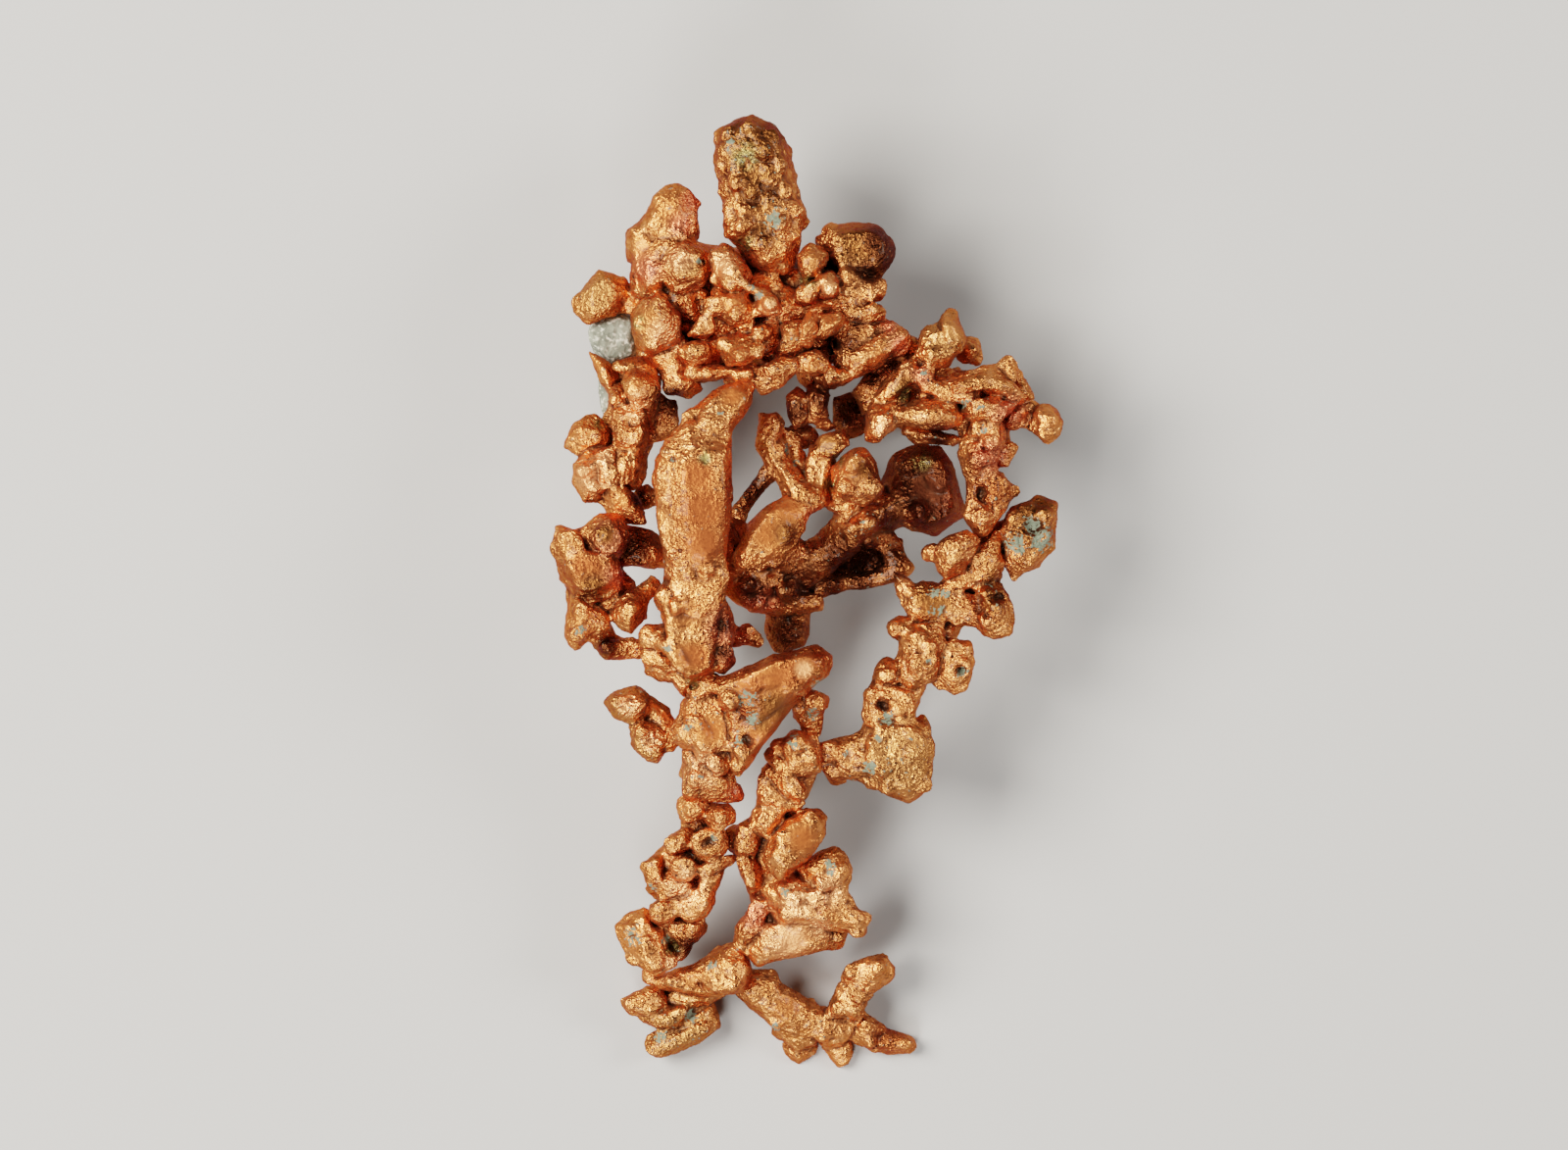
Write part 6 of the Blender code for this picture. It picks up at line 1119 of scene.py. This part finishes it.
def dent(mesh, pits):
    """Presses pits (x, y, radius, depth) down into the top of the mesh."""
    places, normals = places_of(mesh), normals_of(mesh)
    for x, y, radius, depth in pits:
        away = np.hypot(places[:, 0] + CENTRE_X - x, places[:, 1] + CENTRE_Y - y) / radius
        for index in np.flatnonzero(away < PIT_REACH):
            away[index] += PIT_WOBBLE * noise.noise(Vector(places[index]) * PIT_WAVES)
        share = np.clip(1.0 - away ** 2, 0.0, 1.0) ** PIT_POWER
        share *= np.clip(normals[:, 2] * PIT_FACING, 0.0, 1.0)
        places[:, 2] -= depth * share
    move_to(mesh, places)


def keep(mesh, name, values):
    """Stores one number a vertex on the mesh, for its finish to read."""
    attribute = mesh.attributes.new(name, "FLOAT", "POINT")
    attribute.data.foreach_set("value", np.asarray(values, np.float32).ravel())


def details(name, crowd):
    """The small crystals on a branch: its own knobs, strands and rings, and others strewn all over it."""
    surface = BVHTree.FromBMesh(crowd)

    def on_top(x, y, thick):
        top = surface.ray_cast(Vector((x - CENTRE_X, y - CENTRE_Y, ABOVE)), Vector((0.0, 0.0, -1.0)))[0]
        return None if top is None else (x, y, top.z + fall(y) - SUNK * thick, thick)

    lumps = []
    for x, y, thick in KNOBS.get(name, ()):
        place = on_top(x, y, thick)
        if place:
            lumps.append(grain(*place[:3], thick, KNOB_WIDTH * thick, KNOB_DEPTH * thick, turn=KNOB_TURN * x))
    for strand in STRANDS.get(name, ()):
        stops = [place for place in (on_top(*stop) for stop in strand) if place]
        lumps += stem(*stops)
    for x, y, radius, thick in RINGS.get(name, ()):
        place = on_top(x, y, thick)
        lumps += ring(*place[:3], radius, thick) if place else []
    faces = [face for face in crowd.faces if face.calc_center_median().z > LOWEST_KNOB]
    areas = [face.calc_area() for face in faces]
    for face in random.choices(faces, areas, k=int(KNOBS_PER_MM2 * sum(areas))):
        middle = face.calc_center_median()
        x, y, z = face.verts[0].co.lerp(middle, random.random()) - KNOB_ROOT * face.normal
        x, y = x + CENTRE_X, y + CENTRE_Y
        thick = random.uniform(*KNOB_SIZES)
        bare = FLAT + CALM + (BARE if face.normal.z > 0.0 else ())
        if random.random() > cover(bare, np.array([(x - CENTRE_X, y - CENTRE_Y)]))[0]:
            lumps.append(grain(x, y, z + fall(y), thick, random.uniform(*KNOB_LENGTHS) * thick,
                               KNOB_DEPTH * thick, turn=random.uniform(0.0, math.pi)))
    return lumps


def branch(name, lumps, pits=()):
    """Makes the fine mesh of one branch and puts it in its node's place."""
    crowd = crowd_of(lumps)
    lumps = lumps + details(name, crowd)
    crowd.free()
    crowd = crowd_of(lumps)
    owners = BVHTree.FromBMesh(crowd)
    crowd.faces.ensure_lookup_table()
    mesh = grown_together(crowd)
    edges = edges_of(mesh)
    places = places_of(mesh)
    tones = [random.random() for _ in lumps]
    tone = [tones[crowd.faces[owners.find_nearest(Vector(place))[2]].material_index] for place in places]
    crowd.free()
    move_to(mesh, relaxed(places, edges, ROUNDING))
    move_to(mesh, places_of(mesh) + FATTEN * normals_of(mesh))
    if pits:
        dent(mesh, pits)
    places, normals = places_of(mesh), normals_of(mesh)
    open_share = np.ones(len(places))
    for attribute, rounds, reach in FOLDS:
        depth = ((relaxed(places, edges, rounds) - places) * normals).sum(axis=1) / reach
        depth = np.clip(relaxed(depth, edges, FOLD_ROUNDS)[:, 0], -1.0, 1.0)
        keep(mesh, attribute, depth)
        open_share *= np.clip(1.0 - FOLD_KEEPS * depth, 0.0, 1.0)
    calm = np.maximum(cover(FLAT, places), HALF_CALM * cover(CALM, places))
    rough = cover(ROUGH, places)
    warp(mesh)
    for size, flatness, rounds in FACETS:
        facet(mesh, edges, size, flatness * open_share * (1.0 - ROUGH_FACES * rough), rounds)
    crumple(mesh, calm, rough)
    places, normals = places_of(mesh), normals_of(mesh)
    rise = ((places - relaxed(places, edges, RIDGE_ROUNDS)) * normals).sum(axis=1)
    keep(mesh, "ridge", np.clip(rise / RIDGE_RISE - RIDGE_FROM, 0.0, 1.0))
    keep(mesh, "tone", relaxed(np.array(tone), edges, TONE_ROUNDS))
    keep(mesh, "rough", rough)
    keep(mesh, "calm", calm)
    for attribute, spots in TINT_AND_LIGHT_SPOTS.items():
        keep(mesh, attribute, cover(spots, places))
    mesh = thinned(mesh)
    mesh.transform(Matrix.Scale(MM, 4))
    mesh.polygons.foreach_set("use_smooth", [True] * len(mesh.polygons))
    mesh.update()
    piece = bpy.data.objects.new(name + "_surface", mesh)
    bpy.context.scene.collection.objects.link(piece)
    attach(piece, "root")
    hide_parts(name)
    print(name, sum(len(face.vertices) - 2 for face in mesh.polygons), "triangles")
    return piece


def material(name):
    """A node material with only its Principled shader and output."""
    made = bpy.data.materials.new(name)
    made.use_nodes = True
    return made, made.node_tree, made.node_tree.nodes["Principled BSDF"]


def node(tree, kind, inputs=(), **settings):
    """Adds a node with these settings, and sets or links its inputs."""
    made = tree.nodes.new(kind)
    for key, value in settings.items():
        setattr(made, key, value)
    for key, value in dict(inputs).items():
        socket = made.inputs[key]
        if isinstance(value, bpy.types.NodeSocket):
            tree.links.new(value, socket)
        else:
            socket.default_value = value
    return made


def maths(tree, operation, first, second, clamp=False):
    """The result of one sum on sockets or numbers."""
    made = node(tree, "ShaderNodeMath", {0: first, 1: second}, operation=operation, use_clamp=clamp)
    return made.outputs[0]


def blended(tree, share, first, second):
    """The mix of two colours, with this share of the second."""
    made = node(tree, "ShaderNodeMix", data_type="RGBA")
    for socket, value in ((made.inputs[0], share), (made.inputs[6], first), (made.inputs[7], second)):
        if isinstance(value, bpy.types.NodeSocket):
            tree.links.new(value, socket)
        elif isinstance(value, tuple):
            socket.default_value = (*value, 1.0)
        else:
            socket.default_value = value
    return made.outputs[2]


def band(tree, value, low, high):
    """0 below low, 1 above high and smooth between."""
    made = node(tree, "ShaderNodeMapRange", {"Value": value, "From Min": low, "From Max": high},
                interpolation_type="SMOOTHSTEP")
    return made.outputs["Result"]


def read(tree, name):
    """The number that the mesh keeps under this name."""
    return node(tree, "ShaderNodeAttribute", attribute_name=name).outputs["Fac"]


def speckle(tree, spot, per_mm, detail=3.0):
    """Noise from 0 to 1, with this many waves a millimetre."""
    made = node(tree, "ShaderNodeTexNoise", {"Vector": spot, "Scale": per_mm / MM, "Detail": detail})
    return made.outputs["Fac"]


def copper_finish():
    """Copper browned by air: orange, golden and rosy crystals, with painted shade in the creases, hollows and
    pores, spots of painted shadow and painted highlight, paler worn ridges that are partly painted highlight,
    and crusts in pits.
    """
    made, tree, shader = material("browned_copper")
    spot = node(tree, "ShaderNodeTexCoord").outputs["Object"]

    def join(operation, first, second, clamp=False):
        return maths(tree, operation, first, second, clamp)

    def part(value, share):
        return join("MULTIPLY", value, share)

    cloud, fleck, fine = (speckle(tree, spot, *waves) for waves in (CLOUD, FLECK, FINE))
    calm, dusky = read(tree, "calm"), read(tree, "dusky")
    tone = join("ADD", read(tree, "tone"), cloud)
    colour = blended(tree, band(tree, tone, *TONE_BAND), ORANGE, AMBER)
    colour = blended(tree, join("SUBTRACT", band(tree, fleck, *PALE_BAND), calm, True), colour, PALE)
    # spots of tint, topped by the painted highlight spots
    for name, share, tint in TINTS:
        colour = blended(tree, part(read(tree, name), share), colour, tint)
    # worn ridges painted paler: partly wear, partly painted highlight
    ridges = join("MULTIPLY", read(tree, "ridge"), band(tree, fine, *RIDGE_BAND), True)
    ridges = join("SUBTRACT", ridges, part(dusky, DUSKY_WEAR), True)
    colour = blended(tree, ridges, colour, WORN_HIGHLIGHT)
    # painted shadow spots
    colour = blended(tree, part(read(tree, "painted_shadow"), PAINTED_SHADOW_SHARE), colour, PAINTED_SHADOW)
    # painted shade in the creases and hollows
    creases = part(band(tree, read(tree, "crease"), *CREASE_BAND), CREASE_SHARE)
    dark = join("MAXIMUM", creases, band(tree, read(tree, "hollow"), *HOLLOW_BAND))
    colour = blended(tree, dark, colour, PAINTED_SHADE)
    # small pores, dented by the bump and painted dark as shade
    pore = join("SUBTRACT", band(tree, speckle(tree, spot, *PORES), *PORE_BAND), calm, True)
    colour = blended(tree, pore, colour, PAINTED_SHADE)
    olive = join("MULTIPLY", read(tree, "olive"), band(tree, fleck, *OLIVE_BAND), True)
    colour = blended(tree, olive, colour, OLIVE)
    crust = read(tree, "patina")
    for value, share in zip((read(tree, "rough"), fine, fleck), CRUST_MIX):
        crust = join("ADD", crust, part(value, share))
    crust = band(tree, crust, *CRUST_BAND)
    colour = blended(tree, crust, colour, PATINA)
    metal = join("SUBTRACT", METAL, part(calm, CALM_DULLS))
    spark = band(tree, fine, *SPARK_BAND)
    rough = ROUGHNESS
    for value, share in zip((fleck, spark, calm, dark, ridges, crust), ROUGHENS):
        rough = join("ADD", part(value, share), rough, value is crust)
    sparkle = join("ADD", part(band(tree, cloud, *SPARKLE_BAND), SPARKLE[1]), SPARKLE[0])
    height = join("SUBTRACT", join("MULTIPLY", fine, sparkle), pore)
    height = join("MULTIPLY", height, join("SUBTRACT", 1.0, part(calm, CALM_BUMP)))
    bump = node(tree, "ShaderNodeBump", {"Height": height, "Distance": BUMP * MM, "Strength": 1.0})
    for name, value in (("Base Color", colour), ("Metallic", join("SUBTRACT", metal, crust, True)),
                        ("Roughness", rough), ("Normal", bump.outputs["Normal"])):
        tree.links.new(value, shader.inputs[name])
    shader.inputs["Specular Tint"].default_value = (*EDGE, 1.0)
    shader.inputs["Coat Weight"].default_value = COAT
    shader.inputs["Coat Roughness"].default_value = COAT_ROUGHNESS
    return made


def stone_finish():
    """Granular grey-green rock with white grains."""
    made, tree, shader = material("granular_rock")
    spot = node(tree, "ShaderNodeTexCoord").outputs["Object"]
    grains = node(tree, "ShaderNodeTexVoronoi", {"Vector": spot, "Scale": ROCK_GRAINS / MM})
    colour = blended(tree, band(tree, speckle(tree, spot, ROCK_WAVES), *ROCK_BAND), ROCK, ROCK_PALE)
    white = band(tree, speckle(tree, spot, ROCK_GRAINS), *WHITE_BAND)
    bump = node(tree, "ShaderNodeBump", {"Height": grains.outputs["Distance"], "Distance": ROCK_BUMP * MM,
                                         "Strength": ROCK_BUMP_STRENGTH})
    tree.links.new(blended(tree, white, colour, ROCK_WHITE), shader.inputs["Base Color"])
    tree.links.new(bump.outputs["Normal"], shader.inputs["Normal"])
    shader.inputs["Roughness"].default_value = ROCK_ROUGHNESS
    return made


def make_floor():
    """A plain pale floor under the growth."""
    shape = bmesh.new()
    bmesh.ops.create_grid(shape, x_segments=1, y_segments=1, size=FLOOR_HALF)
    mesh = bpy.data.meshes.new("floor")
    shape.to_mesh(mesh)
    shape.free()
    made, _, shader = material("pale_floor")
    shader.inputs["Base Color"].default_value = (*FLOOR_COLOUR, 1.0)
    shader.inputs["Roughness"].default_value = FLOOR_ROUGHNESS
    mesh.materials.append(made)
    floor = bpy.data.objects.new("floor", mesh)
    bpy.context.scene.collection.objects.link(floor)


def softbox(name, place, side, power, colour):
    """A square studio light that faces the middle of the growth."""
    lamp = bpy.data.lights.new(name, "AREA")
    lamp.shape = "SQUARE"
    lamp.size = side
    lamp.energy = power
    lamp.color = colour
    thing = bpy.data.objects.new(name, lamp)
    thing.location = place
    thing.rotation_euler = (-Vector(place)).to_track_quat("-Z", "Y").to_euler()
    bpy.context.scene.collection.objects.link(thing)


def light_studio():
    """The soft lights, the dim surround and how the picture is toned."""
    for name, place, side, power, colour in SOFTBOXES:
        softbox(name, place, side, power, colour)
    world = bpy.data.worlds.new("studio")
    world.use_nodes = True
    world.node_tree.nodes["Background"].inputs["Color"].default_value = (*SURROUND, 1.0)
    bpy.context.scene.world = world
    view = bpy.context.scene.view_settings
    view.view_transform, view.look, view.exposure = VIEW


def place_camera():
    """A long lens straight above the growth, with its head at the top of the picture."""
    data = bpy.data.cameras.new("camera")
    data.lens = LENS
    data.sensor_width = SENSOR
    camera = bpy.data.objects.new("camera", data)
    x, y, z = PICTURE_MIDDLE
    camera.location = Vector((x, y, z + PICTURE_WIDTH * LENS / SENSOR)) * MM
    bpy.context.scene.collection.objects.link(camera)
    bpy.context.scene.camera = camera


def main():
    """Builds the whole scene, branch by branch."""
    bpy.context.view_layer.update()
    random.seed(SEED)
    noise.seed_set(SEED)
    light_studio()
    place_camera()
    make_floor()
    copper, stone = copper_finish(), stone_finish()
    for make in BRANCHES:
        name = make.__name__
        branch(name, make(), pits=PITS.get(name, ())).data.materials.append(copper)
    branch("matrix_stone", matrix_stone()).data.materials.append(stone)


BRANCHES = (
    crown, central_blade, left_flank, left_cluster, inner_fork, right_arm, right_chain, trunk, left_spur,
    right_leg, left_leg, left_foot, right_foot,
)

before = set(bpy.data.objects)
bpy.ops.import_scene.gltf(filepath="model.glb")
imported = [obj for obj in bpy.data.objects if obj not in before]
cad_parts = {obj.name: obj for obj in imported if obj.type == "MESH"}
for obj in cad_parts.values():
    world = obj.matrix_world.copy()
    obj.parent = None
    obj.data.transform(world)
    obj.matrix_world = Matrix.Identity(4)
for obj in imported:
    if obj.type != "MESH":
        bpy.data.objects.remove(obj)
main()
